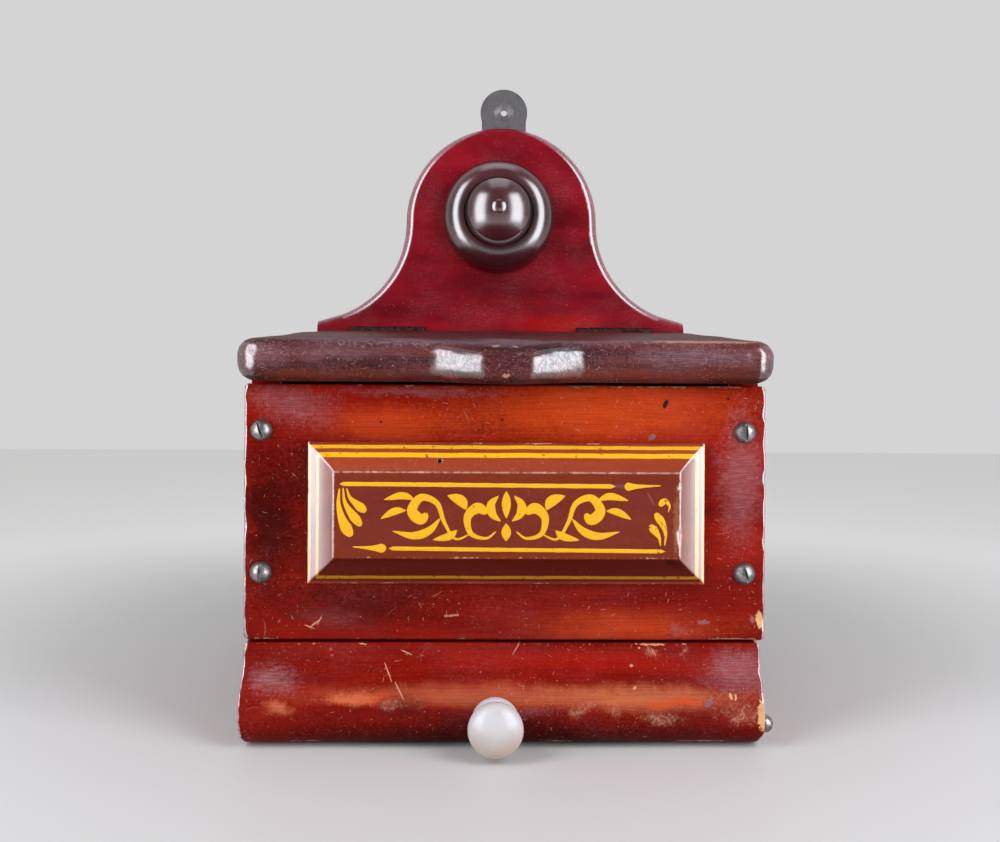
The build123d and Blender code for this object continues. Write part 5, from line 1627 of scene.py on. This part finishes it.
class SALTBOX_OT_plane_insides(bpy.types.Operator):
    """Give the floor, the base and the drawer's box bare softwood"""

    bl_idname = "salt_box.plane_insides"
    bl_label = "Plane the Insides"

    def execute(self, context):
        for names, order, shift in (
            (("compartment_floor", "base_board", "drawer_bottom"), "xyz", 10.0),
            (("drawer_side_left", "drawer_side_right"), "yzx", 150.0),
            (("drawer_back",), "xzy", 270.0),
        ):
            wood = aged_wood(
                "Bare softwood " + order, order, deep=(0.300, 0.165, 0.070), bright=(0.560, 0.370, 0.190),
                shift=shift, dust=0.1, scratches=0.25, lines=(0.25, 0.14, 0.08), roughness=0.62, coat=0.0,
            )
            dress(names, wood)
        return {"FINISHED"}


LAMPS = (  # name, (azimuth in degrees, reach, height), size in metres, share of the power, tilt
    ("lamp_left", (-51.0, 0.58, 0.41), (0.28, 0.80), 1.0, 0.0),
    ("lamp_right", (49.0, 0.58, 0.41), (0.32, 0.80), 1.14, 0.0),
    ("lamp_top", (0.0, 0.10, 1.05), (0.50, 0.50), 0.18, 1.0),
)


class SALTBOX_OT_set_stage(bpy.types.Operator):
    """Lay the floor, hang the lamps and place the camera"""

    bl_idname = "salt_box.set_stage"
    bl_label = "Set the Stage"

    def execute(self, context):
        stage = context.scene.salt_box_stage
        side = np.linspace(-3000.0, 3000.0, 7)
        x, y = np.meshgrid(side, side, indexing="ij")
        floor = build_piece("floor", ((np.stack([x, y, np.full_like(x, -0.02)], -1), 0.0),), None)
        material, w, shader, place = new_material("Pale floor")
        tone = w.noise(place, scale=0.004)
        seen = w.rays("Camera", "Glossy", "Transmission")
        far = w.step(w.vector("LENGTH", place), 60.0, 620.0)
        w.fit(
            shader, Base_Color=w.mix(tone, tinted(stage.floor, 0.97), tuple(stage.floor)), Roughness=0.55,
            Specular_IOR_Level=0.3, Emission_Strength=1.0,
            Emission_Color=w.mix(far * seen, ORIGIN, tinted(stage.backdrop, stage.fade)),
        )
        dress(("floor",), material)

        world = bpy.data.worlds.new("Studio")
        context.scene.world = world
        world.use_nodes = True
        w = Wires(world.node_tree)
        world.node_tree.nodes.clear()
        background = w.node("ShaderNodeBackground")
        _, toward, _ = w.parts(w.own("Generated"))
        mirrored = w.rays("Glossy", "Transmission")
        behind = w.step(toward, -0.45, 0.25) * (1.0 - stage.room_dark) + stage.room_dark
        strength = mirrored * (behind - stage.room_light) + stage.room_light
        w.fit(background, Color=(*stage.backdrop, 1.0), Strength=w.most(strength, w.rays("Camera")))
        out = w.node("ShaderNodeOutputWorld")
        world.node_tree.links.new(background.outputs["Background"], out.inputs["Surface"])

        for name, place, size, share, tilt in LAMPS:
            self.lamp(name, place, size, share * stage.lamp_power, tilt)
        self.camera(context, stage)
        return {"FINISHED"}

    def lamp(self, name, place, size, power, tilt):
        """A softbox that faces the box: upright at tilt 0, aimed at the origin at tilt 1."""
        light = bpy.data.lights.new(name, "AREA")
        light.shape = "RECTANGLE"
        light.size, light.size_y = size
        light.energy = power
        light.color = (0.93, 0.94, 1.0)
        lamp = bpy.data.objects.new(name, light)
        azimuth, reach, height = place
        angle = math.radians(azimuth)
        lamp.location = (reach * math.sin(angle), -reach * math.cos(angle), height)
        aim = lamp.location.copy()
        aim.z *= tilt
        lamp.rotation_euler = aim.to_track_quat("Z", "Y").to_euler()
        bpy.context.scene.collection.objects.link(lamp)

    def camera(self, context, stage):
        """A level camera at the eye, turned and rolled a little."""
        data = bpy.data.cameras.new("camera")
        data.sensor_fit = "HORIZONTAL"
        data.sensor_width = 36.0
        data.lens = stage.lens
        data.clip_start = 0.01
        camera = bpy.data.objects.new("camera", data)
        camera.location = (stage.eye_side, FRONT_Y * MM - stage.eye_distance, stage.eye_height)
        turn = Matrix.Rotation(-stage.turn, 4, "Z") @ Matrix.Rotation(math.pi / 2, 4, "X")
        turn = turn @ Matrix.Rotation(stage.roll, 4, "Z")
        camera.matrix_world = Matrix.Translation(camera.location) @ turn
        context.scene.collection.objects.link(camera)
        context.scene.camera = camera
        context.scene.view_settings.view_transform = "Standard"


# ---------------------------------------------------------------- panel and run


class SALTBOX_PT_panel(bpy.types.Panel):
    """Settings and steps of the salt box"""

    bl_idname = "SALTBOX_PT_panel"
    bl_label = "Salt Box"
    bl_space_type = "VIEW_3D"
    bl_region_type = "UI"
    bl_category = "Salt Box"

    def draw(self, context):
        for step in STEPS:
            self.layout.operator(step.bl_idname)
        for name, group in SETTINGS.items():
            box = self.layout.box()
            box.label(text=group.__doc__)
            for field in group.__annotations__:
                box.prop(getattr(context.scene, name), field)


SETTINGS = {
    "salt_box_wood": SaltBoxWood,
    "salt_box_paint": SaltBoxPaint,
    "salt_box_lid": SaltBoxLid,
    "salt_box_fittings": SaltBoxFittings,
    "salt_box_stage": SaltBoxStage,
}
STEPS = (
    SALTBOX_OT_stain_boards,
    SALTBOX_OT_shape_lid,
    SALTBOX_OT_paint_plaque,
    SALTBOX_OT_polish_boss,
    SALTBOX_OT_finish_metal,
    SALTBOX_OT_glaze_knob,
    SALTBOX_OT_plane_insides,
    SALTBOX_OT_set_stage,
)


def register():
    for group in SETTINGS.values():
        bpy.utils.register_class(group)
    for step in (*STEPS, SALTBOX_PT_panel):
        bpy.utils.register_class(step)
    for name, group in SETTINGS.items():
        setattr(bpy.types.Scene, name, bpy.props.PointerProperty(type=group))


def unregister():
    for name in SETTINGS:
        delattr(bpy.types.Scene, name)
    for step in (SALTBOX_PT_panel, *reversed(STEPS)):
        bpy.utils.unregister_class(step)
    for group in SETTINGS.values():
        bpy.utils.unregister_class(group)


def main():
    register()
    for step in STEPS:
        area, name = step.bl_idname.split(".")
        getattr(getattr(bpy.ops, area), name)()


if __name__ == "__main__":
    main()
